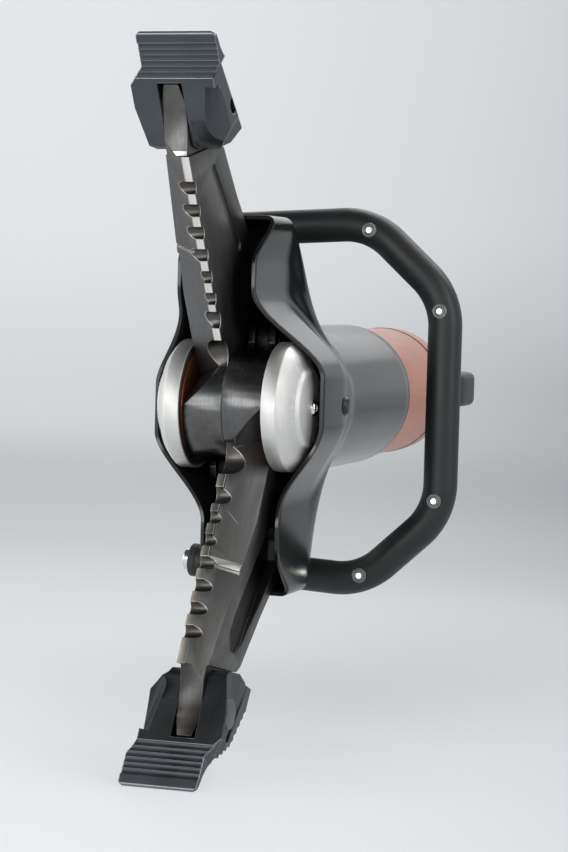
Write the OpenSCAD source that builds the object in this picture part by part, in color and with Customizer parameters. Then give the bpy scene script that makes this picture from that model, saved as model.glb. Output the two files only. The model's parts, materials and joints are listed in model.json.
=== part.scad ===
/* [Arms] */
// Angle between each fully open arm and the tool's long axis, in degrees
open_angle = 58.4; // [55:0.1:60]
// Radius of the round hub of each arm
hub_r = 38.9; // [37:0.1:40]
// Thickness of one arm at its hub
hub_t = 27.7; // [26:0.1:29]
// Distance from the pivot to the near end of the cutting edge
edge_start = 57; // [55:0.5:60]
// Length of the cutting edge
edge_len = 134; // [128:0.5:140]
// How far the cutting edge passes the centre line when the arms are closed
edge_drop = 12; // [10:0.5:14]
// Width of the flat cutting edge
edge_w = 5.5; // [4:0.1:7]
// Rise of the bevelled face beside the edge
bevel_rise = 11.5; // [9:0.5:14]
// Step between the inner and the outer part of the bevelled face
bevel_step = 2.5; // [1:0.1:3.5]
// Greatest height of an arm's back above the centre line
back_h = 68; // [64:0.5:69]
// Height of an arm's back at its shoulder
shoulder_h = 46; // [42:0.5:50]
// Thickness of an arm at its shoulder
shoulder_t = 18.5; // [17:0.1:21]
// Lean of the shoulder, in degrees
shoulder_lean = 19.5; // [14:0.5:24]
// Running gap between an arm and the plane where the arms meet
shear_gap = 0.1; // [0.05:0.01:0.2]
// Number of small notches in each cutting edge
notch_count = 7; // [5:1:8]
// Distance between the small notches
notch_pitch = 16.4; // [15:0.1:17]
// Width of the small notches
notch_w = 9; // [7:0.5:11]
// Radius of the large notch beside the hub
rod_notch_r = 12; // [10:0.5:13]
// Depth of the long pocket in the outer side of an arm
pocket_depth = 8; // [5:0.5:10]

/* [Tips] */
// Distance from an arm's shoulder to the front edge of its tip
tip_len = 84; // [80:0.5:90]
// Width of the front of a tip
tip_w = 52; // [49:0.5:55]
// Greatest thickness of a tip, square to its flat face
tip_h = 75; // [71:0.5:78]
// Number of ridges on the flat face of a tip
ridge_count = 6; // [4:1:7]
// Distance between the ridges
ridge_pitch = 3.9; // [3:0.1:4.4]
// Thickness of the tongue that carries a tip
tongue_t = 15.6; // [14:0.1:16.5]
// Radius of the pin that locks a tip
tip_pin_r = 7; // [6:0.1:8]
// Travel of the pin that locks a tip
tip_pin_travel = 5; // [3:0.5:6]

/* [Pivot] */
// Radius of the centre bolt
bolt_r = 15; // [13:0.1:16]
// Wall of the bushes on the centre bolt
bush_wall = 3; // [2:0.1:4]
// Thickness of the bronze washer beside each arm
washer_t = 1.8; // [1.2:0.1:2.4]
// Thickness of each ear of the yoke
ear_t = 11; // [9:0.5:11.5]
// Radius of the eye of each ear
ear_r = 39; // [38:0.1:39.5]
// Running gap between turning faces, and radial gap of turning shafts
run_gap = 0.05; // [0.03:0.01:0.08]
// Gap between loose parts that don't turn on each other
fit_gap = 0.3; // [0.15:0.05:0.4]
// Radial gap between parts that are pressed or screwed together
seat_gap = 0.03; // [0.01:0.01:0.05]

/* [Caps] */
// Radius of the stainless caps
cap_r = 43.6; // [43:0.1:45]
// Width of the band of a cap
cap_band = 10; // [8:0.5:12]
// Depth of a cap from its rim to its face
cap_depth = 23; // [22:0.5:26]
// Wall of a cap
cap_wall = 1.5; // [1:0.1:2]

/* [Guard shell] */
// Half of the width of the shell beside the caps
mouth_r = 60; // [58:0.5:64]
// Half of the height of the shell over its wings
wing_z = 128; // [122:0.5:132]
// Distance from the middle to the inner side of a wing
wing_in = 17; // [15:0.5:20]
// Distance from the middle to the outer side of a wing
wing_out = 38; // [35:0.5:41]
// Wall of the shell
shell_wall = 3; // [2.4:0.1:3.4]
// Distance from the pivot to the rear edge of the sleeve
sleeve_end = 245; // [235:1:255]

/* [Cylinder and rear end] */
// Outer radius of the cylinder
body_r = 50; // [49:0.1:52]
// Radius of the cylinder's bore
bore_r = 35; // [32:0.5:38]
// Radius of the piston rod
rod_r = 15; // [13:0.5:17]
// Distance from the pivot to the dark joint ring
ring_y = 350; // [342:1:356]
// Length of the rear housing
housing_len = 34; // [30:1:40]
// Half of the width of the rear grip
grip_half_w = 54; // [50:0.5:60]
// Length of the rear grip
grip_len = 84; // [78:0.5:92]
// Thickness of the rear grip
grip_t = 28; // [24:0.5:32]
// Radius of the hydraulic inlet's spigot
inlet_r = 8; // [7:0.1:8.5]
// Free length of the hydraulic inlet's spigot
inlet_len = 20; // [16:0.5:24]
// Travel of the sleeve that locks a coupling on the inlet
sleeve_travel = 4; // [2:0.5:5]

/* [Linkage] */
// Distance from the pivot to the pin of an arm's lever
lever_r = 48; // [47:0.5:50]
// Length of a link between its pins
link_len = 80; // [78:0.5:82]
// Radius of the link pins
link_pin_r = 6.5; // [6:0.1:7]
// Thickness of a link
link_t = 9; // [7:0.5:10]

/* [Carry handle] */
// Distance from the pivot to the plane of the handle
handle_y = 112; // [108:1:118]
// Radius of the handle's tube
tube_r = 12; // [11:0.5:13]
// Wall of the handle's tube
tube_wall = 2.5; // [2:0.1:3.5]
// Distance from the middle to the handle's long bar
handle_x = 112.5; // [106:0.5:120]
// Distance from the middle to the first bend of the handle, across the tool
bend_x = 57; // [52:0.5:62]
// Distance from the middle to the first bend of the handle, along the spread
bend_z = 127; // [123:0.5:131]
// Distance from the middle to the free ends of the handle
handle_end = 66; // [60:0.5:70]
// Radius of the handle's bends
bend_r = 48; // [42:1:52]
// Slope of the short bars, in degrees
bar_slope = 3.3; // [1:0.1:5]
// Slope of the slanted bars, in degrees
slant = 42.6; // [40:0.1:45]
// Radius of each lamp
lamp_r = 4; // [3:0.1:5]
// Length of the battery in the long bar
battery_len = 80; // [60:1:90]
// Travel of the light button
button_travel = 1.5; // [1:0.1:2.5]

/* [Hidden] */
$fn = 72;
eps = 0.01;

// Arms, in the closed position: the distance from the pivot runs forward, the height is off the centre line
shoulder_s = edge_start + edge_len;
tip_s = shoulder_s + tip_len;
notch_first = edge_start + 17.5;
bush_r = bolt_r + run_gap + bush_wall;
rib_s = edge_start + 61;
rib_w = 5.5;
tongue_mid = shoulder_t / 2 + 0.75;
tongue_len = 47;
tongue_h = 33;
tongue_taper = 3.2;
nose_end = 3;
nose_curve = 2.6;
scoop_gap = 1;
slot_gap = 0.3;
tip_pin_s = shoulder_s + 22.5;
tip_pin_h = 22.5;
tip_pin_end = tip_pin_travel + 2;
heel_back = 1.5;
heel_h = 38;
heel_edge = 5;
tip_flat = 0.5;
tip_half = tip_w / 2;
tip_bulge = 10;
tip_waist = 6;
tip_lean = 25;
tip_cant = 8.6;
recess_r = 14;
recess_h = -3.5;
recess_turn = 9.7;
tip_crest_s = tip_s - 52;
tip_crest_h = 50;
pin_head_r = 10;
pin_head_t = 4;
pin_head_x = tip_half + 4;
channel_x = tip_half - 2.5;
groove_r = 4;
groove_depth = 1.5;

// Linkage
lever_at_rest = 64;
lever_angle = lever_at_rest - open_angle;
slot_turn = 15;
slot_in = 5.8;
slot_out = 4.4;
slot_half = link_pin_r + 2.1;
lever_eye_r = 17;
link_eye_r = 14.5;
ear_gap = 0.5;
lever_x0 = 3;
lever_x1 = 22.2;
link_mid = (lever_x0 + lever_x1) / 2;
pin_y = lever_r * cos(lever_at_rest);
pin_z = lever_r * sin(lever_at_rest);
cross_y = pin_y + sqrt(link_len * link_len - pin_z * pin_z);
link_tilt = asin(pin_z / link_len);
cross_lug_r = 15;
cross_block = 10;
cross_w = 27;
rod_front = cross_y + cross_lug_r + 3;

// Yoke and cylinder
ear_x = shear_gap + hub_t + 2 * run_gap + washer_t;
flange_y = 164;
flange_t = 18;
tube_y = flange_y + flange_t;
gland_len = 24;
screw_circle = (body_r + bore_r) / 2;
seal_y = 6;
seal_len = 5;
piston_y = tube_y + gland_len + 8;
piston_len = 26;
nut_len = 9;
bore_end = piston_y + piston_len + nut_len + 50;
head_y = bore_end + 4;
housing_y = ring_y + 3.5;
housing_end = housing_y + housing_len;
grip_y = housing_end + 1;
spool_len = 18;
inlet_y = housing_len / 2;
inlet_turn = 40;
inlet_body_r = inlet_r + 2.5;
inlet_flange = 14;
inlet_body = inlet_flange + 24;
inlet_end = inlet_body + 2 + inlet_len;
sleeve_len = inlet_body - inlet_flange - sleeve_travel - 2;
spring_y = housing_y + spool_len + 1;

// Guard shell
smooth_from = 38;
smooth_to = 98;
shell_screw_y = 50;
screw_seat_x = mouth_r - 1.1;
shell_r = body_r + fit_gap + shell_wall;
wing_corner = 6;

// Caps
cap_x = ear_x - 1;
cap_face = cap_x + cap_depth;

// Handle
bend1 = bend_r * tan((bar_slope + slant) / 2);
bend2 = bend_r * tan((90 - slant) / 2);
corner_z = bend_z - (handle_x - bend_x) * tan(slant);
bracket_x = -28;
bracket_w = 15;
bracket_t = 18;
foot_x = -12;
foot_half = 24;
foot_h = 5;

// Places a profile of distance and height as a plate on the left of the meeting plane
module plate(x0, x1) {
    translate([-x0, 0, 0]) rotate([90, 0, -90]) linear_extrude(x1 - x0) children();
}

// Places an outline of distance and depth from the meeting plane, drawn upwards
module plan(z0, z1) {
    translate([0, 0, z0]) rotate([0, 0, -90]) linear_extrude(z1 - z0) children();
}

// Places a section of depth and height, drawn forward from s0 to s1
module section(s0, s1) {
    translate([0, -s0, 0]) rotate([90, 0, 0]) linear_extrude(s1 - s0) children();
}

// A rod along the pivot axis
module rod_x(x0, x1, r) {
    translate([x0, 0, 0]) rotate([0, 90, 0]) cylinder(h = x1 - x0, r = r);
}

// A rod along the tool's long axis
module rod_y(y0, y1, r) {
    translate([0, y0, 0]) rotate([-90, 0, 0]) cylinder(h = y1 - y0, r = r);
}

// A tube along the tool's long axis
module pipe_y(y0, y1, ro, ri) {
    translate([0, y0, 0]) rotate([-90, 0, 0]) linear_extrude(y1 - y0) difference() {
        circle(ro);
        circle(ri);
    }
}

// Turns the upper arm's parts from closed to fully open
module opened() {
    rotate([-open_angle, 0, 0]) children();
}

// The lower arm's parts are the upper ones turned half round the tool's long axis
module below() {
    rotate([0, 180, 0]) children();
}

// A long hole or slot between two points of a profile
module long_hole(a, b, r) {
    t = atan2(b[1] - a[1], b[0] - a[0]);
    polygon(concat(
        [for (k = [90 : 10 : 270]) a + r * [cos(t + k), sin(t + k)]],
        [for (k = [-90 : 10 : 90]) b + r * [cos(t + k), sin(t + k)]]
    ));
}

function shoulder_at(h) = shoulder_s - h * tan(shoulder_lean);

module blade_profile() {
    polygon([
        [0, -edge_drop], [shoulder_at(-edge_drop), -edge_drop], [shoulder_at(shoulder_h), shoulder_h],
        [shoulder_s - 22, shoulder_h + 4], [edge_start + 71, back_h - 9], [edge_start + 41, back_h],
        [edge_start + 31, back_h], [edge_start + 18, back_h - 4], [44, 44], [14, 36], [0, 30]
    ]);
    circle(hub_r);
}

// Height of the tongue's rounded front at a distance from the shoulder
function nose_at(d) = nose_end - (nose_end + edge_drop) * pow(1 - d / tongue_len, nose_curve);

module tongue_profile() {
    polygon(concat(
        [[shoulder_s - 30, -edge_drop + 4]],
        [for (k = [0 : 8]) let (d = k * tongue_len / 8) [shoulder_s + d, nose_at(d)]],
        [[shoulder_s + tongue_len, tongue_h - 12], [shoulder_s + tongue_len - 10, tongue_h],
         [shoulder_s - 30, tongue_h]]
    ));
}

// Room in a tip for the other arm's tongue when the arms are closed
module scoop_profile() {
    polygon(concat(
        [[shoulder_s - 30, -2], [shoulder_s - 30, edge_drop + scoop_gap]],
        [for (k = [0 : 8]) let (d = k * tongue_len / 8) [shoulder_s + d, scoop_gap - nose_at(d)]],
        [[shoulder_s + tongue_len, -2]]
    ));
}

// The part of the space in front of the bevelled face, between two distances
module bevel_cut(s0, s1, drop) {
    k = bevel_rise / (2 * hub_t / 3);
    section(s0, s1) polygon([
        [-edge_w, -edge_drop + drop], [-edge_w - 2 * hub_t, -edge_drop + drop + 2 * hub_t * k],
        [-edge_w - 2 * hub_t, -80], [-edge_w, -80]
    ]);
}

module bevels() {
    intersection() {
        bevel_cut(10, rib_s, bevel_step);
        plan(-90, 90) polygon([
            [edge_start - 19, -edge_w + 1], [edge_start - 40, -hub_t - 4],
            [rib_s + 20, -hub_t - 4], [rib_s + 20, -edge_w + 1]
        ]);
    }
    bevel_cut(rib_s - eps, rib_s + rib_w, 0);
    bevel_cut(rib_s + rib_w, rib_s + rib_w + 2, 1.2);
    bevel_cut(rib_s + rib_w + 2 - eps, shoulder_s + 30, 0);
}

module lever_shape() {
    translate([-lever_r * cos(lever_angle), -lever_r * sin(lever_angle)]) circle(lever_eye_r);
    rotate(lever_angle) translate([-lever_r, 2 - lever_eye_r]) square([lever_r, 2 * lever_eye_r - 4]);
}

// The tongue narrows towards its front on both sides
module tongue() {
    intersection() {
        plate(tongue_mid - tongue_t / 2, tongue_mid + tongue_t / 2) tongue_profile();
        plan(-60, 60) polygon([for (p = [[-32, 0], [tongue_len - 12, 0], [tongue_len + 1, tongue_taper],
            [tongue_len + 1, tongue_t - tongue_taper], [tongue_len - 12, tongue_t], [-32, tongue_t]])
            [shoulder_s + p[0], p[1] - tongue_mid - tongue_t / 2]]);
    }
}

module arm() {
    difference() {
        union() {
            intersection() {
                plate(shear_gap, shear_gap + hub_t) blade_profile();
                plan(-80, 120) polygon([
                    [-80, 0], [-80, -hub_t - 2], [edge_start + 28, -hub_t - shear_gap],
                    [shoulder_s + 6, -shoulder_t - shear_gap], [shoulder_s + 6, 0]
                ]);
            }
            tongue();
            plate(lever_x0, lever_x1) lever_shape();
        }
        bevels();
        plate(-1, hub_t + 2) circle(bush_r);
        plate(-1, hub_t + 2) translate([edge_start - 9.5, -edge_drop - 4]) circle(rod_notch_r);
        for (i = [0 : notch_count - 1])
            plate(-1, hub_t + 2) translate([notch_first + i * notch_pitch, -edge_drop - 0.5])
                circle((i == 0 ? 1.4 : 1) * notch_w / 2);
        plate(link_mid - link_t / 2 - ear_gap, link_mid + link_t / 2 + ear_gap)
            translate([-100, -60]) square([100 - 24.5, 120]);
        plate(-1, hub_t + 2) rotate(lever_angle) translate([-lever_r, 0]) rotate(-slot_turn)
            long_hole([-slot_out, 0], [slot_in, 0], slot_half);
        plate(-1, shear_gap + groove_depth)
            long_hole([edge_start + 40, 47], [shoulder_s - 26, 26], groove_r);
        plate(hub_t + shear_gap - pocket_depth, hub_t + 4) pocket_shape();
        plate(-1, hub_t + 2) translate([tip_pin_s, tip_pin_h]) circle(tip_pin_r + run_gap);
    }
}

module pocket_shape() {
    polygon([
        [edge_start + 16, 34], [edge_start + 16, 56], [edge_start + 28, 62], [shoulder_s - 33, 41],
        [shoulder_s - 24, 34], [shoulder_s - 22, 24], [shoulder_s - 30, 15], [shoulder_s - 42, 14],
        [edge_start + 26, 26]
    ]);
}

// Teeth along a straight stretch of a profile, from a to b
function teeth(a, b, count, depth) = let (d = (b - a) / count, n = [d[1], -d[0]] / norm(d))
    [for (i = [0 : count - 1]) each [a + d * i, a + d * (i + 0.75) + n * depth]];

function heel_at(h) = shoulder_at(h) + heel_back;

// Side view of a tip: ridges on the flat face, a rising front and teeth down its back
module tip_profile() {
    ridge_s = tip_s - 7.5 - ridge_count * ridge_pitch;
    polygon(concat(
        [[heel_at(heel_edge + 4), heel_edge + 4], [shoulder_s + heel_edge, tip_flat], [ridge_s, tip_flat]],
        [for (i = [0 : ridge_count - 1]) each [
            [ridge_s + i * ridge_pitch, tip_flat + 1.4],
            [ridge_s + (i + 0.7) * ridge_pitch, tip_flat + 1.4],
            [ridge_s + (i + 1) * ridge_pitch, tip_flat]]],
        [[tip_s - 1, tip_flat], [tip_s, tip_flat + 1], [tip_s, tip_flat + 2.2], [tip_s - 6.5, 5.5],
         [tip_s - 13, 7.5], [tip_s - 20, 11.5], [tip_s - 27, 18]],
        teeth([tip_s - 31, 23], [tip_crest_s, tip_crest_h], 4, 2),
        teeth([tip_crest_s, tip_crest_h], [shoulder_s - 3, tip_h - 2], 5, 2),
        [[shoulder_s - 3, tip_h - 2], [shoulder_s - 17, tip_h], [shoulder_s - 14, tip_h - 12],
         [heel_at(heel_h), heel_h]]
    ));
}

// A tip seen along the tool: its flat face is wider than its back
module tip_section() {
    polygon([
        [-tip_half - tip_bulge, -2], [tip_half + 1, -2], [tip_half + 1, tip_h + 6],
        [4 - tip_half, tip_h + 6], [-tip_half, 40], [-tip_half - 1, 16], [-tip_half - tip_bulge, 3]
    ]);
}

// A tip seen square to its flat face: a wide front, one side that swells and one with a waist
module tip_plan() {
    polygon([
        [tip_s + 1, 3 - tip_half], [tip_s - 2, -tip_half - 0.5], [tip_s - 24, -tip_half - 1],
        [tip_s - 36, -tip_half - tip_bulge], [tip_s - 52, -tip_half - tip_bulge],
        [shoulder_s, 6 - tip_half - tip_bulge], [shoulder_s - 30, 6 - tip_half - tip_bulge],
        [shoulder_s - 30, tip_half - 16], [shoulder_s - 6, tip_half - 16], [shoulder_s + 14, tip_half - 3.5],
        [tip_s - 38, tip_half - tip_waist], [tip_s - 31, tip_half - tip_waist], [tip_s - 22, tip_half - 0.5],
        [tip_s - 2, tip_half], [tip_s + 1, tip_half - 4]
    ]);
}

// The back of a tip's waisted side leans over, and its flat face is hollowed beside the other arm's tongue
module tip_side_cuts() {
    intersection() {
        translate([tip_half - tip_waist + 0.5, 33 - tip_s, 18.5]) rotate([0, -tip_lean, -tip_cant])
            translate([0, -120, -120]) cube(240);
        section(shoulder_s - 60, tip_s - 23) square([60, 120]);
    }
    translate([tip_half + 1, 40 - tip_s, recess_h]) rotate([-90, 0, recess_turn])
        cylinder(h = 90, r = recess_r);
}

module tip() {
    difference() {
        intersection() {
            plate(-60, 60) tip_profile();
            section(shoulder_s - 40, tip_s + 1) tip_section();
            plan(-20, 120) tip_plan();
        }
        plate(tongue_mid - tongue_t / 2 - slot_gap, tongue_mid + tongue_t / 2 + slot_gap) polygon([
            [shoulder_s - 40, -5], [shoulder_s + tongue_len + 2, -5],
            [shoulder_s + tongue_len + 2, tongue_h - 10],
            [shoulder_s + tongue_len - 9, tongue_h + 1], [shoulder_s - 40, tongue_h + 1]
        ]);
        plate(-tip_pin_end - 1, 60) at_pin() circle(tip_pin_r + run_gap);
        plate(-60, 0) at_pin() circle(tip_pin_r - 2);
        plate(pin_head_x - pin_head_t, 60) at_pin() circle(pin_head_r + fit_gap);
        plate(channel_x, 60) long_hole([tip_crest_s + 1, 40], [shoulder_s - 16, 61], 3);
        tip_side_cuts();
        plate(-tongue_mid - tongue_t / 2 - 1.5, -shear_gap) scoop_profile();
    }
}

module at_pin() {
    translate([tip_pin_s, tip_pin_h]) children();
}

module tip_pin() {
    translate([0, -tip_pin_s, tip_pin_h]) {
        rod_x(-pin_head_x, tip_pin_end, tip_pin_r);
        rod_x(-pin_head_x - 1, pin_head_t - pin_head_x, pin_head_r);
    }
}

module bush() {
    difference() {
        rod_x(-shear_gap - hub_t, -shear_gap, bush_r - seat_gap);
        rod_x(-hub_t - 2, 1, bolt_r + run_gap);
    }
}

module link() {
    difference() {
        plate(link_mid - link_t / 2, link_mid + link_t / 2) union() {
            circle(link_eye_r);
            translate([link_len, 0]) circle(link_eye_r);
            translate([0, -link_eye_r + 4]) square([link_len, 2 * link_eye_r - 8]);
        }
        plate(0, 40) circle(link_pin_r + run_gap);
        plate(0, 40) translate([link_len, 0]) circle(link_pin_r + seat_gap);
    }
}

// From the crosshead's pin down to the pin of the upper arm's lever
module linked() {
    translate([0, cross_y, 0]) rotate([link_tilt, 0, 0]) children();
}

module lever_pin() {
    translate([0, -link_len, 0]) rod_x(-lever_x1, -lever_x0, link_pin_r);
}

module crosshead() {
    difference() {
        union() {
            for (x = [[-cross_w, -link_mid - link_t / 2 - ear_gap],
                      [link_mid + link_t / 2 + ear_gap, cross_w],
                      [-link_mid + link_t / 2 + ear_gap, link_mid - link_t / 2 - ear_gap]]) {
                translate([0, cross_y, 0]) rod_x(x[0], x[1], cross_lug_r);
                translate([x[0], cross_y, -cross_lug_r])
                    cube([x[1] - x[0], cross_lug_r + 4, 2 * cross_lug_r]);
            }
            translate([-cross_w, cross_y + cross_lug_r + 1, -cross_lug_r])
                cube([2 * cross_w, cross_block, 2 * cross_lug_r]);
        }
        translate([0, cross_y, 0]) rod_x(-40, 40, link_pin_r + seat_gap);
        rod_y(rod_front, flange_y + 60, rod_r - 4 + seat_gap);
    }
}

module crosshead_pin() {
    translate([0, cross_y, 0]) rod_x(-cross_w, cross_w, link_pin_r);
}

module piston_rod() {
    shoulder_y = cross_y + cross_lug_r + 1 + cross_block;
    end_y = piston_y + piston_len + nut_len;
    rotate([-90, 0, 0]) rotate_extrude() polygon([
        [0, rod_front], [rod_r - 4, rod_front], [rod_r - 4, shoulder_y], [rod_r, shoulder_y],
        [rod_r, piston_y], [rod_r - 4, piston_y], [rod_r - 4, end_y], [0, end_y]
    ]);
}

module piston() {
    difference() {
        rod_y(piston_y, piston_y + piston_len, bore_r - run_gap);
        rod_y(piston_y - 1, piston_y + piston_len + 1, rod_r - 4 + seat_gap);
        pipe_y(piston_y + 9, piston_y + 17, bore_r + 1, bore_r - 4);
    }
}

module piston_seal() {
    pipe_y(piston_y + 9, piston_y + 17, bore_r - run_gap, bore_r - 4 + seat_gap);
}

module piston_nut() {
    difference() {
        rotate([0, 30, 0]) translate([0, piston_y + piston_len, 0]) rotate([-90, 0, 0])
            cylinder(h = nut_len, r = 21, $fn = 6);
        rod_y(piston_y, bore_end, rod_r - 4 + seat_gap);
    }
}

module rod_gland() {
    difference() {
        rod_y(tube_y, tube_y + gland_len, bore_r - seat_gap);
        rod_y(tube_y - 1, tube_y + gland_len + 1, rod_r + run_gap);
        rod_y(tube_y + 8, tube_y + 14, rod_r + 4);
    }
}

module rod_seal() {
    pipe_y(tube_y + 8, tube_y + 14, rod_r + 4 - seat_gap, rod_r + run_gap);
}

module yoke() {
    difference() {
        union() {
            for (s = [0, 180]) rotate([0, s, 0]) {
                rod_x(ear_x, ear_x + ear_t, ear_r);
                intersection() {
                    translate([ear_x, 0, 5 - ear_r]) cube([ear_t, flange_y + 1, 2 * ear_r - 10]);
                    union() {
                        translate([0, 0, -ear_r]) cube([mouth_r, 44, 2 * ear_r]);
                        rod_y(43, flange_y + 2, body_r - fit_gap);
                    }
                }
            }
            rod_y(flange_y, tube_y, body_r - fit_gap);
        }
        rod_x(-70, 70, bolt_r + seat_gap);
        rod_y(flange_y - 1, tube_y + 1, rod_r + 1);
        for (a = [0 : 60 : 300]) rotate([0, a + 90, 0]) translate([0, 0, screw_circle]) {
            rod_y(flange_y - 1, tube_y + 1, 3.5 + seat_gap);
            rod_y(flange_y - 1, flange_y + 7, 6.5);
        }
        for (s = [-1, 1]) translate([s * (ear_x + ear_t - 8), shell_screw_y, 0])
            rod_x(s > 0 ? 0 : -9, s > 0 ? 9 : 0, 3 + seat_gap);
    }
}

module yoke_screws() {
    for (a = [0 : 60 : 300]) rotate([0, a + 90, 0]) translate([0, 0, screw_circle]) {
        rod_y(flange_y + 7, tube_y + 15, 3.5);
        rod_y(flange_y + 1, flange_y + 7, 6.2);
    }
}

module centre_bolt() {
    difference() {
        union() {
            rod_x(-ear_x - ear_t - 5, ear_x + ear_t + 4, bolt_r);
            rotate([30, 0, 0]) translate([-ear_x - ear_t - 5, 0, 0]) rotate([0, 90, 0])
                cylinder(h = 5, r = 24, $fn = 6);
        }
        for (s = [0, 180]) rotate([0, s, 0]) rod_x(ear_x - 4, ear_x + ear_t + 6, 4 + seat_gap);
    }
}

module bolt_nut() {
    difference() {
        rotate([30, 0, 0]) translate([ear_x + ear_t, 0, 0]) rotate([0, 90, 0])
            cylinder(h = 4, r = 24, $fn = 6);
        rod_x(0, 70, bolt_r + seat_gap);
    }
}

module thrust_washers() {
    for (s = [0, 180]) rotate([0, s, 0]) difference() {
        rod_x(ear_x - washer_t, ear_x, hub_r - 1.5);
        rod_x(0, 70, bolt_r + fit_gap);
    }
}

// Outer or inner outline of a cap as radius and depth, from its rim to its middle
function cap_outline(w) = [
    [cap_r - w, 0], [cap_r - w, cap_band], [cap_r - 2.5 - w, cap_band + 2.5 - w / 2],
    [cap_r - 7 - w, cap_band + 6 - w], [28, cap_depth - 4 - w], [25.5, cap_depth - 1.5 - w],
    [12, cap_depth - w], [0, cap_depth - w]
];

module cap() {
    difference() {
        translate([cap_x, 0, 0]) rotate([0, 90, 0]) rotate_extrude() polygon(
            concat(cap_outline(0), [[0, cap_depth - cap_wall]],
                [for (i = [6 : -1 : 0]) cap_outline(cap_wall)[i]]));
        rod_x(0, 80, 4 + seat_gap);
        translate([0, 20, -60]) cube([ear_x + ear_t + 0.6, 40, 120]);
    }
}

module cap_screws() {
    for (s = [0, 180]) rotate([0, s, 0]) difference() {
        union() {
            rod_x(ear_x + 1, cap_face, 4);
            translate([cap_face, 0, 0]) rotate([0, 90, 0]) cylinder(h = 2.6, r1 = 6, r2 = 4.6);
        }
        translate([cap_face + 1.2, 0, 0]) rotate([0, 90, 0]) cylinder(h = 3, r = 2.6, $fn = 6);
    }
}

// Guard shell: a mouth with a wing for each arm, which closes to a round sleeve
function smooth(t) = t <= 0 ? 0 : t >= 1 ? 1 : t * t * (3 - 2 * t);
function mix(a, b, t) = a + (b - a) * t;
function near_side(z) = wing_in + (mouth_r - wing_in) * (1 - smooth((z - 20) / 58))
    + 4 * smooth((z - 95) / 30);
function far_side(z) = wing_out + (mouth_r - wing_out) * (1 - smooth((z - 12) / 54));
function side_at(z) = z >= 0 ? near_side(z) : far_side(-z);
function rim_y(z) = -4 - 22 * smooth((abs(z) - 25) / 55) + 27 * smooth((abs(z) - 95) / (wing_z - 95));

side_steps = 24;
wing_top = wing_z - wing_corner;
half_mouth = concat(
    [for (k = [0 : side_steps]) let (z = wing_top * (2 * k / side_steps - 1)) [side_at(z), z]],
    [for (a = [22.5 : 22.5 : 90])
        [near_side(wing_z) - wing_corner, wing_top] + wing_corner * [cos(a), sin(a)]],
    [for (k = [1 : 3]) [mix(near_side(wing_z) - wing_corner, wing_corner - wing_out, k / 4), wing_z]],
    [for (a = [90 : 22.5 : 157.5]) [wing_corner - wing_out, wing_top] + wing_corner * [cos(a), sin(a)]]
);
mouth = concat(half_mouth, [for (p = half_mouth) -p]);
mouth_n = len(mouth);
function mouth_normal(i) = let (d = mouth[(i + 1) % mouth_n] - mouth[(i + mouth_n - 1) % mouth_n])
    [d[1], -d[0]] / norm(d);
mouth_in = [for (i = [0 : mouth_n - 1]) mouth[i] - shell_wall * mouth_normal(i)];

function round_at(i, r) = let (a = 360 * (i - side_steps / 2) / mouth_n) r * [cos(a), sin(a)];
function ring_of(points, r, t) = [for (i = [0 : mouth_n - 1]) let (
    y = mix(rim_y(mouth[i][1]), smooth_to, t), b = smooth((y - smooth_from) / (smooth_to - smooth_from)),
    p = mix(points[i], round_at(i, r), b)) [p[0], y, p[1]]];
function ring_end(r) = [for (i = [0 : mouth_n - 1]) let (p = round_at(i, r)) [p[0], sleeve_end, p[1]]];

shell_steps = 14;
module shell_skin() {
    outer = [for (k = [0 : shell_steps]) ring_of(mouth, shell_r, k / shell_steps)];
    inner = [for (k = [shell_steps : -1 : 0]) ring_of(mouth_in, shell_r - shell_wall, k / shell_steps)];
    rings = concat(outer, [ring_end(shell_r)], [ring_end(shell_r - shell_wall)], inner);
    n = mouth_n;
    m = len(rings);
    polyhedron(
        points = [for (r = rings) each r],
        faces = [for (k = [0 : m - 1]) for (i = [0 : n - 1]) let (
            a = k * n + i, b = k * n + (i + 1) % n, c = ((k + 1) % m) * n + (i + 1) % n,
            d = ((k + 1) % m) * n + i) each [[a, b, c], [a, c, d]]]
    );
}

module guard_shell() {
    difference() {
        shell_skin();
        for (s = [0, 180]) rotate([0, s, 0]) translate([0, shell_screw_y, 0]) {
            rod_x(ear_x + ear_t, mouth_r + 10, 3 + fit_gap);
            rod_x(screw_seat_x, mouth_r + 10, 7 + fit_gap);
        }
    }
}

module shell_screws() {
    for (s = [0, 180]) rotate([0, s, 0]) translate([0, shell_screw_y, 0]) {
        rod_x(ear_x + ear_t - 7, mouth_r, 3);
        rod_x(ear_x + ear_t, mouth_r - shell_wall - 2, 7);
        translate([screw_seat_x, 0, 0]) rotate([0, 90, 0]) cylinder(h = 3, r1 = 7, r2 = 5);
    }
}

module cylinder_tube() {
    difference() {
        rod_y(tube_y, ring_y, body_r);
        rod_y(tube_y - 1, bore_end, bore_r);
        rod_y(bore_end - 1, ring_y + 1, bore_r - 4);
        for (a = [0 : 60 : 300]) rotate([0, a + 90, 0]) translate([0, 0, screw_circle])
            rod_y(tube_y - 1, tube_y + 15, 3.5 + seat_gap);
    }
}

module cylinder_head() {
    difference() {
        rod_y(head_y, ring_y, bore_r - 4 - seat_gap);
        pipe_y(head_y + seal_y, head_y + seal_y + seal_len, bore_r, bore_r - 8);
        rod_y(head_y - 1, ring_y + 1, 5);
    }
}

module head_seal() {
    pipe_y(head_y + seal_y, head_y + seal_y + seal_len, bore_r - 4 - seat_gap, bore_r - 8 + seat_gap);
}

module joint_ring() {
    pipe_y(ring_y, housing_y, body_r + 0.4, 20);
}

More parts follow.
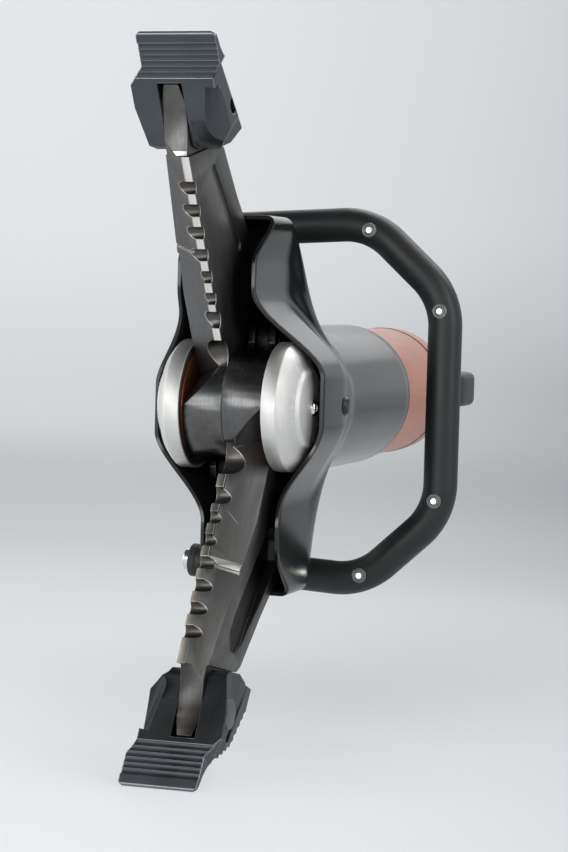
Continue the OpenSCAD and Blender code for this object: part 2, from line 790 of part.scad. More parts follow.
module rear_housing() {
    difference() {
        translate([0, housing_y, 0]) rotate([-90, 0, 0]) rotate_extrude() polygon([
            [12, 0], [body_r, 0], [body_r, housing_len - 14], [body_r - 3, housing_len - 6],
            [body_r - 10, housing_len], [12, housing_len]
        ]);
        inlet_place() translate([0, 0, -12]) cylinder(h = 60, r = inlet_r + 1 + seat_gap);
        inlet_place() translate([0, 0, 8]) cylinder(h = 60, r = inlet_body_r + 2 + fit_gap);
    }
}

// The inlet leaves the rear housing beside the grip, away from the carry handle
module inlet_place() {
    translate([4 - body_r, housing_y + inlet_y, 0]) rotate([-90, 0, inlet_turn]) children();
}

module inlet_nipple() {
    inlet_place() rotate_extrude() polygon([
        [4, -12], [inlet_r + 1, -12], [inlet_r + 1, 8], [inlet_body_r + 2, 8],
        [inlet_body_r + 2, inlet_flange], [inlet_body_r, inlet_flange], [inlet_body_r, inlet_body],
        [inlet_r - 1, inlet_body],
        [inlet_r - 1, inlet_body + 2], [inlet_r, inlet_body + 2], [inlet_r, inlet_end],
        [inlet_r - 1.2, inlet_end + 1.5], [4, inlet_end + 1.5]
    ]);
}

module locking_sleeve() {
    inlet_place() translate([0, 0, inlet_flange + sleeve_travel + 1]) rotate_extrude() polygon([
        [inlet_body_r + run_gap, 0], [inlet_body_r + 3.5, 0], [inlet_body_r + 3.5, 12],
        [inlet_body_r + 2.5, 13], [inlet_body_r + 3.5, 14], [inlet_body_r + 3.5, sleeve_len],
        [inlet_body_r + run_gap, sleeve_len]
    ]);
}

module control_spool() {
    rod_y(housing_y, housing_y + spool_len, 12 - run_gap);
    rod_y(housing_y + spool_len - 1, grip_y + 6, 8);
}

// A coil of wire round the stem, drawn as rings of points along the helix
module spool_spring() {
    turns = 3;
    sides = 8;
    per_turn = 16;
    n = turns * per_turn;
    wire = 0.8;
    rise = 2.6;
    coil = [for (k = [0 : n]) for (j = [0 : sides - 1]) let (
        a = 360 * k / per_turn, c = 360 * j / sides, r = 9.9 + wire * cos(c))
        [r * cos(a), spring_y + wire + k * rise / per_turn + wire * sin(c), r * sin(a)]];
    polyhedron(points = coil, faces = concat(
        [[for (j = [0 : sides - 1]) j]],
        [for (k = [0 : n - 1]) for (j = [0 : sides - 1]) let (
            p = k * sides + j, q = k * sides + (j + 1) % sides)
            each [[p, q + sides, q], [p, p + sides, q + sides]]],
        [[for (j = [sides - 1 : -1 : 0]) n * sides + j]]
    ));
}

function arc(c, r, a, b) = [for (k = [0 : 6]) c + r * [cos(mix(a, b, k / 6)), sin(mix(a, b, k / 6))]];
function both_sides(half) = concat(half, [for (k = [len(half) - 1 : -1 : 0]) [-half[k][0], half[k][1]]]);

module rear_grip() {
    bar = 15;
    difference() {
        translate([0, grip_y, -grip_t / 2]) linear_extrude(grip_t) polygon(both_sides(concat(
            [[20, 0]], arc([grip_half_w - 18, 30], 18, -50, 0),
            arc([grip_half_w - 26, grip_len - 26], 26, 0, 90))));
        translate([0, grip_y, -grip_t]) linear_extrude(2 * grip_t) polygon(both_sides(concat(
            [[16, bar]], arc([grip_half_w - bar - 8, 34], 8, -60, 0),
            arc([grip_half_w - bar - 14, grip_len - bar - 18], 14, 0, 90))));
        rod_y(grip_y - 1, grip_y + 6, 8);
        rod_y(grip_y, grip_y + 20, 3);
        rod_y(grip_y + 10, grip_y + 20, 5.5);
    }
}

module grip_screw() {
    rod_y(grip_y + 6, grip_y + 10, 3);
    rod_y(grip_y + 10, grip_y + 13.5, 5.2);
}

// Handle: a bent tube, drawn as rings of points along its centre line
bar_dir = [cos(bar_slope), sin(bar_slope)];
slant_dir = [cos(slant), -sin(slant)];
corner1 = [bend_x, bend_z];
corner2 = [handle_x, corner_z];
bar_end = corner1 - bend1 * bar_dir;
slant_end = corner2 - bend2 * slant_dir;
bar_start = corner1 - (bend_x + handle_end) / cos(bar_slope) * bar_dir;
centre1 = bar_end + bend_r * [sin(bar_slope), -cos(bar_slope)];
centre2 = slant_end + bend_r * [-sin(slant), -cos(slant)];
long_bar = centre2[1];
tube_in = tube_r - tube_wall;
bend_steps = 8;
tube_sides = 24;

// Each station holds its middle, the direction of its outer side and its two radii
quarter = concat(
    [[bar_start, 90 + bar_slope, tube_r, tube_in]],
    [for (k = [0 : bend_steps]) let (a = mix(90 + bar_slope, 90 - slant, k / bend_steps))
        [centre1 + bend_r * [cos(a), sin(a)], a, tube_r, tube_in]],
    [for (k = [0 : bend_steps]) let (a = mix(90 - slant, 0, k / bend_steps))
        [centre2 + bend_r * [cos(a), sin(a)], a, tube_r, tube_in]],
    [[[handle_x, long_bar - 1.5], 0, tube_r - 0.7, tube_in + 0.7]]
);
last = len(quarter) - 1;
stations = concat(quarter, [for (k = [last : -1 : 0]) let (q = quarter[k])
    [[q[0][0], -q[0][1]], -q[1], q[2], q[3]]]);
function tube_ring(q, r) = [for (k = [0 : tube_sides - 1]) let (
    c = r * cos(360 * k / tube_sides), h = r * sin(360 * k / tube_sides))
    [q[0][0] + c * cos(q[1]), handle_y + h, q[0][1] + c * sin(q[1])]];

module bent_tube() {
    m = len(stations);
    rings = concat([for (q = stations) tube_ring(q, q[2])],
        [for (k = [m - 1 : -1 : 0]) tube_ring(stations[k], stations[k][3])]);
    n = tube_sides;
    t = len(rings);
    polyhedron(
        points = [for (r = rings) each r],
        faces = [for (k = [0 : t - 1]) for (i = [0 : n - 1]) let (
            a = k * n + i, b = k * n + (i + 1) % n, c = ((k + 1) % t) * n + (i + 1) % n,
            d = ((k + 1) % t) * n + i) each [[a, b, c], [a, c, d]]]
    );
}

// The lamps sit on the front of the bends
lamp1 = centre1 + bend_r * [cos(67), sin(67)];
lamp2 = centre2 + bend_r * [cos(14), sin(14)];
module at_lamps() {
    for (p = [lamp1, lamp2]) for (s = [-1, 1]) translate([p[0], handle_y - tube_r, s * p[1]]) children();
}

module carry_handle() {
    difference() {
        union() {
            bent_tube();
            translate([handle_x, handle_y, 0.3 - long_bar]) linear_extrude(2 * long_bar - 0.6) difference() {
                circle(tube_r);
                circle(tube_in);
            }
        }
        at_lamps() rod_y(-2, 8, lamp_r + 1.2 + seat_gap);
    }
}

module lamp_bezels() {
    at_lamps() pipe_y(0.5, 5, lamp_r + 1.2, lamp_r);
}

module lamp_lenses() {
    at_lamps() rod_y(1, 5, lamp_r - seat_gap);
}

function bar_z(x) = bend_z - (bend_x - x) * tan(bar_slope);

// A saddle under the short bar, on a leg that leans out from a foot on the sleeve
module bracket() {
    saddle_z = bar_z(bracket_x);
    difference() {
        union() {
            intersection() {
                translate([bracket_x, handle_y, saddle_z]) rotate([0, -bar_slope, 0])
                    rod_x(-bracket_w / 2, bracket_w / 2, tube_r + 4);
                translate([bracket_x - bracket_w, handle_y - 40, saddle_z - 40])
                    cube([2 * bracket_w, 80, 38]);
            }
            translate([0, handle_y + bracket_t / 2, 0]) rotate([90, 0, 0]) linear_extrude(bracket_t)
            polygon([
                [foot_x - foot_half, shell_r - 30], [foot_x - foot_half, shell_r + foot_h],
                [foot_x - 11, shell_r + foot_h], [bracket_x - bracket_w / 2 + 1, saddle_z - tube_r - 14],
                [bracket_x - bracket_w / 2 + 1, saddle_z - 6], [bracket_x + bracket_w / 2 - 1, saddle_z - 6],
                [bracket_x + bracket_w / 2 - 1, saddle_z - tube_r - 14],
                [foot_x + 7, shell_r + foot_h], [foot_x + foot_half, shell_r + foot_h],
                [foot_x + foot_half, shell_r - 30]
            ]);
        }
        rod_y(0, 200, shell_r + seat_gap);
        translate([bracket_x, handle_y, saddle_z]) rotate([0, -bar_slope, 0])
            rod_x(-40, 40, tube_r + seat_gap);
        bracket_screw_places() cylinder(h = 20, r = 3 + fit_gap);
    }
}

module bracket_screw_places() {
    for (side = [-1, 1]) translate([foot_x + side * (foot_half - 6), handle_y, shell_r]) children();
}

module bracket_screw() {
    translate([0, 0, 0.5]) cylinder(h = foot_h, r = 3);
    translate([0, 0, foot_h]) cylinder(h = 4, r = 5);
}

module bracket_screws() {
    bracket_screw_places() bracket_screw();
    mirror([0, 0, 1]) bracket_screw_places() bracket_screw();
}

// The lower free end of the tube carries the light button
module at_lower_end() {
    translate([bar_start[0], handle_y, -bar_start[1]]) rotate([0, 180 + bar_slope, 0]) children();
}

module button_collar() {
    at_lower_end() difference() {
        union() {
            rod_x(0, 6, tube_r);
            rod_x(-8, 0, tube_in - fit_gap);
        }
        rod_x(-2.5 - button_travel, 7, 7.5 + run_gap);
    }
}

module light_button() {
    at_lower_end() rod_x(-2, 11, 7.5);
}

module tube_plug() {
    translate([bar_start[0], handle_y, bar_start[1]]) rotate([0, 180 - bar_slope, 0]) {
        rod_x(0, 4, tube_r);
        rod_x(-8, 0, tube_in - fit_gap);
    }
}

module battery() {
    translate([handle_x, handle_y, -battery_len / 2]) cylinder(h = battery_len, r = tube_in - fit_gap);
}

color("darkorange") yoke();
color("dimgray") centre_bolt();
color("dimgray") bolt_nut();
color("peru") thrust_washers();
color("silver") rotate([0, 180, 0]) cap();  // left_cap
color("silver") cap();  // right_cap
color("gainsboro") cap_screws();
color([0.1, 0.1, 0.1]) guard_shell();
color([0.15, 0.15, 0.15]) shell_screws();
color("gray") opened() arm();  // upper_arm
color("gray") below() opened() arm();  // lower_arm
color("peru") opened() bush();  // upper_bush
color("peru") below() opened() bush();  // lower_bush
color([0.25, 0.26, 0.27]) opened() tip();  // upper_tip
color([0.25, 0.26, 0.27]) below() opened() tip();  // lower_tip
color("dimgray") opened() tip_pin();  // upper_tip_pin
color("dimgray") below() opened() tip_pin();  // lower_tip_pin
color("slategray") linked() link();  // upper_link
color("slategray") below() linked() link();  // lower_link
color("dimgray") linked() lever_pin();  // upper_lever_pin
color("dimgray") below() linked() lever_pin();  // lower_lever_pin
color("slategray") crosshead();
color("dimgray") crosshead_pin();
color("gainsboro") piston_rod();
color("gray") piston();
color("darkgreen") piston_seal();
color("dimgray") piston_nut();
color("peru") rod_gland();
color("darkgreen") rod_seal();
color("dimgray") yoke_screws();
color("orangered") cylinder_tube();
color("gray") cylinder_head();
color("darkgreen") head_seal();
color([0.12, 0.12, 0.12]) joint_ring();
color("orangered") rear_housing();
color("gainsboro") control_spool();
color("dimgray") spool_spring();
color([0.12, 0.12, 0.12]) rear_grip();
color("dimgray") grip_screw();
color("gainsboro") inlet_nipple();
color([0.15, 0.15, 0.15]) locking_sleeve();
color([0.1, 0.1, 0.1]) carry_handle();
color("dimgray") bracket();  // upper_bracket
color("dimgray") mirror([0, 0, 1]) bracket();  // lower_bracket
color("dimgray") bracket_screws();
color("dimgray") lamp_bezels();
color("white") lamp_lenses();
color([0.12, 0.12, 0.12]) button_collar();
color("gainsboro") light_button();
color([0.12, 0.12, 0.12]) tube_plug();
color("steelblue") battery();
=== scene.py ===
import json
import math
import bmesh
import bpy
from mathutils import Matrix, Vector


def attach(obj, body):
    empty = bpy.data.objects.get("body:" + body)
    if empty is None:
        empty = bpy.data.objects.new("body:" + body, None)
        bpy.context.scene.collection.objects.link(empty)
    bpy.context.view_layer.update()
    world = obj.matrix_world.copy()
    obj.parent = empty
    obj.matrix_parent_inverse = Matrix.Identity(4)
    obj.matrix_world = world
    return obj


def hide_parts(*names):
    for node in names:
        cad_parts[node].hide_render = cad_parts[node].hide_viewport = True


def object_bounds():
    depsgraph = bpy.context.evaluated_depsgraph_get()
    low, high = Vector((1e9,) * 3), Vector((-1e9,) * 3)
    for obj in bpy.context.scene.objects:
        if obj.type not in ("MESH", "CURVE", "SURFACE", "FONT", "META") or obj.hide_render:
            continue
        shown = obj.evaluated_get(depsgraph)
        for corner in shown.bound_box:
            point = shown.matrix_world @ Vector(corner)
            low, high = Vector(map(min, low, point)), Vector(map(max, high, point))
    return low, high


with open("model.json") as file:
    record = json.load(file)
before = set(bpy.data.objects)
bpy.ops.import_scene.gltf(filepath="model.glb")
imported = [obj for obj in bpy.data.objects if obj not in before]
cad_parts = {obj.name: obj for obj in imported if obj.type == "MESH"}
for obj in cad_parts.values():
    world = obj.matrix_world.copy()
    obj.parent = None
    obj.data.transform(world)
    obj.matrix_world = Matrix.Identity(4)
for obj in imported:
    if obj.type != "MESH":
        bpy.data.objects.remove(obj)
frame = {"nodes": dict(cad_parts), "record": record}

cadBox = [list(map(float, corner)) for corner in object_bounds()]  # the CAD model's own box
nodes = frame["nodes"]
record = frame["record"]
mm = 0.001
slotOf = {part["node"]: part["material_slot"] for part in record["subparts"]}
bodyOf = {name: body for body, names in record["behaviour"]["bodies"].items() for name in names}

# Camera: angles in degrees, places in metres from the middle of the pivot, lens and sensor in mm
cameraLook = {
    "azimuth": 17.8, "elevation": 3.1, "roll": 1.6,
    "distance": 1.6771, "aside": 0.030, "lift": -0.0133, "clipEnd": 60.0,
    "lens": 105.01, "sensor": 36.0,
}


def makeCamera(look):
    a, e, r = (math.radians(look[key]) for key in ("azimuth", "elevation", "roll"))
    back = Vector((math.sin(a) * math.cos(e), -math.cos(a) * math.cos(e), math.sin(e)))
    right = Vector((math.cos(a), math.sin(a), 0.0))
    up = back.cross(right)
    across = math.cos(r) * right + math.sin(r) * up
    upward = -math.sin(r) * right + math.cos(r) * up
    place = back * look["distance"] + right * look["aside"] + up * look["lift"]
    turn = Matrix((across, upward, back)).transposed().to_4x4()
    camera = bpy.data.objects.new("camera", bpy.data.cameras.new("camera"))
    camera.matrix_world = Matrix.Translation(place) @ turn
    camera.data.sensor_width = look["sensor"]
    camera.data.lens = look["lens"]
    camera.data.clip_end = look["clipEnd"]
    bpy.context.collection.objects.link(camera)
    bpy.context.scene.camera = camera


makeCamera(cameraLook)
print("camera ready")


# Trees: one small kit for shader and geometry nodes
class Tree:
    def __init__(self, tree):
        self.tree = tree

    def put(self, value, socket):
        # an output is linked, a plain value is written
        if hasattr(value, "links"):
            self.tree.links.new(value, socket)
        else:
            socket.default_value = value

    def node(self, kind, values=(), **settings):
        made = self.tree.nodes.new(kind)
        for key, value in settings.items():
            setattr(made, key, value)
        for key, value in dict(values).items():
            self.put(value, made.inputs[key])
        return made

    def out(self, kind, values=(), **settings):
        return self.node(kind, values, **settings).outputs[0]

    def spread(self, value, low, high, start=0.0, end=1.0, kind="LINEAR"):
        return self.out("ShaderNodeMapRange", {
            "Value": value, "From Min": low, "From Max": high, "To Min": start, "To Max": end},
            interpolation_type=kind)


class Finish(Tree):
    def __init__(self, name, turn=(0, 0, 0)):
        self.material = bpy.data.materials.new(name)
        self.material.use_nodes = True
        super().__init__(self.material.node_tree)
        self.surface = self.tree.nodes["Principled BSDF"]
        spot = self.node("ShaderNodeTexCoord").outputs["Object"]
        self.spot = self.out("ShaderNodeMapping", {"Vector": spot, "Rotation": turn})
        self.heights = []

    def set(self, **values):
        for key, value in values.items():
            self.put(value, self.surface.inputs[key.replace("_", " ")])

    def noise(self, scale, detail, rough=0.55, where=None):
        return self.node("ShaderNodeTexNoise", {
            "Vector": where or self.spot, "Scale": scale, "Detail": detail,
            "Roughness": rough}).outputs["Fac"]

    def blend(self, factor, first, second, mode="MIX"):
        made = self.node("ShaderNodeMix", data_type="RGBA", blend_type=mode, clamp_factor=True)
        self.put(factor, made.inputs[0])
        for value, socket in ((first, made.inputs[6]), (second, made.inputs[7])):
            self.put(value if hasattr(value, "links") else (*value[:3], 1.0), socket)
        return made.outputs[2]

    def math(self, operation, first, second=0.0):
        return self.out("ShaderNodeMath", {0: first, 1: second}, operation=operation)

    def grey(self, level):
        return self.out("ShaderNodeCombineColor", {0: level, 1: level, 2: level})

    def bump(self, height, strength, distance):
        values = {"Height": height, "Strength": strength, "Distance": distance}
        if self.heights:
            values["Normal"] = self.heights[-1]
        self.heights.append(self.out("ShaderNodeBump", values))
        self.set(Normal=self.heights[-1])


def shade(values, share):
    return [value * share for value in values]


# Finishes: a look gives its own colours and roughness, and what differs from these usual values
usualMetal = {
    "brush": (500, 500, 500), "cloud": 34.0, "specks": 520.0, "metal": 1.0,
    "stained": 0.6, "stainShade": 0.6, "stainRange": (0.42, 0.70),
    "streaks": 0.25, "streakShade": 0.55, "streakRange": (0.38, 0.66),
    "pits": 0.3, "pitShade": 0.4, "pitRange": (0.66, 0.74),
    "roughSwing": (0.85, 1.1), "roughCloud": 0.2, "roughRange": (0.4, 0.7),
    "grain": 0.12, "grainDepth": 0.0002, "dents": 0.08, "dentDepth": 0.0006,
}
usualCoat = {
    "cloud": 22.0, "grainScale": 900.0, "dustScale": 650.0, "metal": 0.0,
    "dust": 0.2, "dustBase": (0.35, 0.35, 0.34), "dustRange": (0.72, 0.78),
    "swing": (0.85, 1.15), "roughSwing": (0.85, 1.2),
    "coat": 0.0, "coatRough": 0.1, "ior": 1.5, "grain": 0.1, "grainDepth": 0.0002,
}
noiseRange = (0.3, 0.7)  # where most of a noise texture's values lie


def metalFinish(name, look, turn=(0, 0, 0)):
    made = Finish(name, turn)
    look = {**usualMetal, **look}
    base, rough = look["base"], look["rough"]
    stain = look.get("stain", shade(base, look["stainShade"]))
    brushed = made.out("ShaderNodeMapping", {"Vector": made.spot, "Scale": look["brush"]})
    streak = made.noise(1.0, detail=3.0, rough=0.6, where=brushed)
    cloud = made.noise(look["cloud"], detail=5.0, rough=0.62)
    speck = made.noise(look["specks"], detail=2.0, rough=0.5)
    stained = made.spread(cloud, *look["stainRange"], 0.0, look["stained"])
    tint = made.blend(stained, base, stain)
    streaked = made.spread(streak, *look["streakRange"], 0.0, look["streaks"])
    tint = made.blend(streaked, tint, shade(base, look["streakShade"]))
    pitted = made.spread(speck, *look["pitRange"], 0.0, look["pits"])
    tint = made.blend(pitted, tint, shade(stain, look["pitShade"]))
    if "scratch" in look:
        mark = scratchMark(made, **look["scratch"])
        tint = made.blend(mark, tint, look["scratchBase"])
    brushedRough = made.spread(streak, *noiseRange, *shade(look["roughSwing"], rough))
    cloudRough = made.spread(cloud, *look["roughRange"], 0.0, rough * look["roughCloud"])
    made.set(Base_Color=tint, Roughness=made.math("ADD", brushedRough, cloudRough),
             Metallic=look["metal"])
    made.bump(streak, look["grain"], look["grainDepth"])
    made.bump(cloud, look["dents"], look["dentDepth"])
    return made.material


def scratchMark(made, place, turn, half, width):
    # one long scratch, which runs along its own Y and thins out towards both ends
    line = made.out("ShaderNodeMapping", {
        "Vector": made.spot, "Location": place, "Rotation": turn}, vector_type="TEXTURE")
    axes = made.node("ShaderNodeSeparateXYZ", {0: line}).outputs
    along = made.math("ABSOLUTE", made.math("DIVIDE", axes[1], half))
    thin = made.math("SUBTRACT", 1.0, made.math("POWER", along, 2.0))
    thin = made.math("MULTIPLY", thin, width)
    return made.math("LESS_THAN", made.math("ABSOLUTE", axes[2]), thin)


def coatFinish(name, look):
    made = Finish(name)
    look = {**usualCoat, **look}
    cloud = made.noise(look["cloud"], detail=5.0, rough=0.6)
    grain = made.noise(look["grainScale"], detail=2.0, rough=0.5)
    dust = made.noise(look["dustScale"], detail=1.0, rough=0.4)
    dark, light = (shade(look["base"], share) for share in look["swing"])
    tint = made.blend(made.spread(cloud, *noiseRange), dark, light)
    dusty = made.spread(dust, *look["dustRange"], 0.0, look["dust"])
    tint = made.blend(dusty, tint, look["dustBase"])
    rough = made.spread(cloud, *noiseRange, *shade(look["roughSwing"], look["rough"]))
    made.set(Base_Color=tint, Roughness=rough, Metallic=look["metal"], IOR=look["ior"],
             Coat_Weight=look["coat"], Coat_Roughness=look["coatRough"])
    made.bump(grain, look["grain"], look["grainDepth"])
    return made.material


# Steel of the arms. brush is how fine its streaks are across, along and up each closed arm
steelLooks = {
    "blade": {
        "base": (0.108, 0.106, 0.105), "stain": (0.09, 0.083, 0.076), "rough": 0.42,
        "brush": (900, 30, 700), "streaks": 0.15, "pits": 0.2, "grain": 0.08, "dents": 0.05},
    "bevel": {
        "base": (0.138, 0.138, 0.141), "stain": (0.13, 0.122, 0.115), "rough": 0.46,
        "brush": (60, 60, 1400), "streaks": 0.12, "pits": 0.2, "grain": 0.08, "dents": 0.04},
    "strip": {
        "base": (0.78, 0.77, 0.75), "stain": (0.50, 0.46, 0.41), "rough": 0.44,
        "brush": (1500, 60, 900), "stained": 0.35, "streaks": 0.15, "grain": 0.12,
        "dents": 0.03},
    "notch": {
        "base": (0.095, 0.088, 0.08), "stain": (0.07, 0.056, 0.045), "rough": 0.34,
        "brush": (60, 1200, 1200), "grain": 0.10, "dents": 0.04},
    "nose": {
        "base": (0.138, 0.137, 0.136), "stain": (0.085, 0.078, 0.072), "rough": 0.37,
        "brush": (1400, 50, 50), "cloud": 48.0, "stained": 0.8, "grain": 0.12, "dents": 0.04},
    "hub": {
        "base": (0.13, 0.132, 0.135), "stain": (0.09, 0.08, 0.072), "rough": 0.25,
        "brush": (1300, 40, 40), "cloud": 42.0, "stained": 0.7, "pits": 0.5, "grain": 0.12,
        "dents": 0.06},
    "pocket": {
        "base": (0.022, 0.02, 0.018), "stain": (0.015, 0.012, 0.01), "rough": 0.5,
        "brush": (500, 80, 500)},
    "lever": {"base": (0.02, 0.02, 0.02), "rough": 0.5},
    "edge": {
        "base": (0.42, 0.41, 0.395), "stain": (0.20, 0.185, 0.165), "rough": 0.36,
        "brush": (700, 700, 700)},
}
# where the lower arm's steel differs: a darker, more stained strip, a scratched bevel, and a nose
# darker than the upper's, which is painted shade
lowerLooks = {
    "strip": {
        "base": (0.34, 0.315, 0.28), "stain": (0.20, 0.175, 0.14), "rough": 0.42,
        "brush": (1500, 60, 900), "stained": 0.6, "streaks": 0.35, "grain": 0.2, "dents": 0.04},
    "bevel": {
        "base": (0.128, 0.127, 0.124), "stain": (0.11, 0.103, 0.095), "rough": 0.44,
        "brush": (60, 60, 1400), "streaks": 0.2, "pits": 0.3, "grain": 0.08, "dents": 0.04,
        "scratchBase": (0.40, 0.385, 0.36), "scratch": {
            "place": (-0.01356, -0.08642, -0.00448), "turn": (0.9126, 1.0138, math.pi),
            "half": 0.0068, "width": 0.00026}},
    # painted shade: the lower nose is a darker copy of the nose steel
    "nose": {
        "base": (0.072, 0.07, 0.068), "stain": (0.05, 0.042, 0.035), "rough": 0.35,
        "brush": (1400, 50, 50), "cloud": 48.0, "stained": 0.8, "grain": 0.12, "dents": 0.04},
}
# one finish for each material slot of the record
slotLooks = {
    "dark_steel": metalFinish("darkSteel", {
        "base": (0.02, 0.02, 0.021), "rough": 0.5, "brush": (800, 60, 60)}),
    "bronze": metalFinish("bronze", {
        "base": (0.26, 0.105, 0.05), "stain": (0.16, 0.055, 0.025), "rough": 0.48,
        "brush": (60, 900, 900)}),
    "stainless": metalFinish("satinStainless", {
        "base": (0.70, 0.695, 0.675), "stain": (0.62, 0.61, 0.59), "rough": 0.53,
        "brush": (1900, 70, 70), "streaks": 0.10, "pits": 0.06, "grain": 0.06, "dents": 0.02}),
    "chrome_hardware": metalFinish("chrome", {
        "base": (0.80, 0.80, 0.80), "stain": (0.62, 0.62, 0.62), "rough": 0.11,
        "streaks": 0.08, "pits": 0.15, "grain": 0.02, "dents": 0.02}),
    "black_gloss": coatFinish("glossyBlack", {
        "base": (0.006, 0.0063, 0.0067), "rough": 0.17, "grainScale": 420.0, "grain": 0.02,
        "dust": 0.06}),
    "black_hardware": coatFinish("blackScrew", {
        "base": (0.02, 0.02, 0.021), "rough": 0.34, "metal": 0.3}),
    "arm_steel": metalFinish("armSteel", steelLooks["blade"]),
    "tip_steel": coatFinish("tipCoat", {
        "base": (0.078, 0.086, 0.094), "rough": 0.46, "metal": 1.0, "grainScale": 1300.0,
        "grain": 0.08, "dust": 0.10}),
    "pin_steel": metalFinish("pinSteel", {
        "base": (0.16, 0.16, 0.16), "rough": 0.42, "brush": (90, 700, 700)}),
    "grey_alloy": metalFinish("greyAlloy", {"base": (0.42, 0.42, 0.43), "rough": 0.38}),
    "dark_alloy": metalFinish("darkAlloy", {
        "base": (0.075, 0.075, 0.08), "rough": 0.5, "metal": 0.6}),
    "seal_rubber": coatFinish("sealRubber", {
        "base": (0.018, 0.018, 0.018), "rough": 0.55, "grain": 0.2}),
    "orange_paint": coatFinish("orangePaint", {
        "base": (0.38, 0.135, 0.085), "rough": 0.40, "coat": 0.1, "coatRough": 0.25,
        "grainScale": 600.0, "grain": 0.05}),
    "black_plastic": coatFinish("blackPlastic", {
        "base": (0.022, 0.022, 0.024), "rough": 0.5, "grainScale": 1500.0, "grain": 0.3}),
    "black_satin": coatFinish("satinBlack", {
        "base": (0.009, 0.0094, 0.010), "rough": 0.44, "ior": 1.47, "grainScale": 2200.0,
        "grain": 0.06, "dust": 0.04}),
    "lamp_glass": coatFinish("lampGlass", {
        "base": (0.75, 0.80, 0.78), "rough": 0.08, "grain": 0.02, "dust": 0.0}),
    "battery_wrap": coatFinish("batteryWrap", {"base": (0.05, 0.1, 0.3), "rough": 0.4}),
}
for name, thing in nodes.items():
    thing.data.materials.clear()
    thing.data.materials.append(slotLooks[slotOf[name]])
print("finishes ready")

# Pieces made from the CAD nodes: merged, with their edges broken. Sizes in mm, angles in degrees
edgeLook = {
    "weld": 0.002, "level": 0.4,  # points nearer and faces flatter than this become one
    "corner": 24, "outerCorner": 12,  # an edge sharper than this is broken
    "wide": 1.0,  # an edge at least this wide gets three faces, and a narrower one two
    # on a piece with broken outer corners alone: where shading stays sharp, and how flat it is
    "sharp": 40, "flatWeight": 100,
}


def merged(name):
    shape = bmesh.new()
    shape.from_mesh(nodes[name].data)
    bmesh.ops.remove_doubles(shape, verts=shape.verts, dist=edgeLook["weld"] * mm)
    bmesh.ops.dissolve_limit(shape, angle_limit=math.radians(edgeLook["level"]),
                             verts=shape.verts, edges=shape.edges, delimit={"NORMAL"})
    return shape


def objectFrom(name, mesh, materials=()):
    made = bpy.data.objects.new(name, mesh)
    bpy.context.collection.objects.link(made)
    for material in materials:
        mesh.materials.append(material)
    return made


def plain(thing):
    # the result of all modifiers as a plain mesh
    graph = bpy.context.evaluated_depsgraph_get()
    graph.update()
    mesh = bpy.data.meshes.new_from_object(thing.evaluated_get(graph))
    mesh.name = thing.name
    thing.modifiers.clear()
    old = thing.data
    thing.data = mesh
    bpy.data.meshes.remove(old)
    return thing


def smoothed(mesh, angle):
    mesh.shade_smooth()
    mesh.set_sharp_from_angle(angle=math.radians(angle))


def keep(piece, name):
    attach(piece, bodyOf[name])
    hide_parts(name)


def worn(name, width, materials=None, finish=None, recolour=None, outer=False):
    # one CAD node with broken edges, on its outer corners alone where outer is set. The last of
    # several materials goes on them. finish picks a face's material before, recolour after
    shape = merged(name)
    angle = math.radians(edgeLook["outerCorner" if outer else "corner"])
    if outer:
        weight = shape.edges.layers.float.new("bevel_weight_edge")
        for edge in shape.edges:
            if len(edge.link_faces) == 2:
                corner = edge.calc_face_angle_signed()
                edge[weight] = float(corner > angle)
                edge.smooth = corner > -angle
    if finish:
        for face in shape.faces:
            face.material_index = finish(face.calc_center_median() / mm, face.normal)
    mesh = bpy.data.meshes.new(name)
    shape.to_mesh(mesh)
    shape.free()
    made = objectFrom(name + "Skin", mesh, materials or [slotLooks[slotOf[name]]])
    mesh.shade_smooth()
    bevel = made.modifiers.new("brokenEdges", "BEVEL")
    bevel.width = width * mm
    bevel.segments = 3 if width >= edgeLook["wide"] else 2
    bevel.limit_method = "WEIGHT" if outer else "ANGLE"
    bevel.angle_limit = angle
    bevel.use_clamp_overlap = False
    bevel.harden_normals = not outer
    if materials:
        bevel.material = len(materials) - 1
    if outer:
        mesh.set_sharp_from_angle(angle=math.radians(edgeLook["sharp"]))
        even = made.modifiers.new("evenNormals", "WEIGHTED_NORMAL")
        even.keep_sharp = True
        even.weight = edgeLook["flatWeight"]
    made = plain(made)
    if recolour:
        for face in made.data.polygons:
            face.material_index = recolour(face.material_index, face.center / mm)
    keep(made, name)


# Arms: sizes in mm on the closed arm, s forward from the pivot, h up and d across, away from
# the plane where the arms meet
armLook = {
    "open": 58.4, "brokenEdge": 0.35,
    "drop": 12.0, "slack": 0.2,  # how far the cutting edge lies below the pivot, and how exactly
    "hub": 38.9, "hubSlack": 0.6, "hubReach": 40.0,
    "lever": 39.4, "leverReach": 24.0,
    "noseFrom": 179.0, "noseHighlightEnd": 198.0,  # on the upper arm the bright strip steel runs on over the nose up to the second distance, a painted highlight
    "bevelFrom": 45.0, "rubbedFrom": 50.0, "rubbedHeight": 0.8,
    "rib": (117.9, 125.7), "ribSlack": 0.6, "ribHeight": 4.0,
    "rodNotch": {"place": 47.5, "below": 4.0, "radius": 12.0},
    "notches": {"first": 74.5, "pitch": 16.4, "count": 7, "below": 0.5, "radius": 4.5,
                "firstRadius": 6.3},
    "notchSlack": 0.25, "notchRubbed": 0.6,
    "pocket": {"s": (70.0, 172.0), "h": (12.0, 63.0), "d": (19.6, 20.2)},
}
# how a face has to lie: its normal's part up and across the closed arm
armTilts = {
    "through": 0.2, "strip": -0.98, "nose": (-0.15, 0.3), "rib": (-0.6, 0.4),
    "bevel": (-0.6, 0.3), "pocket": 0.99,
}
armParts = ["blade", "bevel", "strip", "notch", "nose", "hub", "pocket", "lever", "edge"]


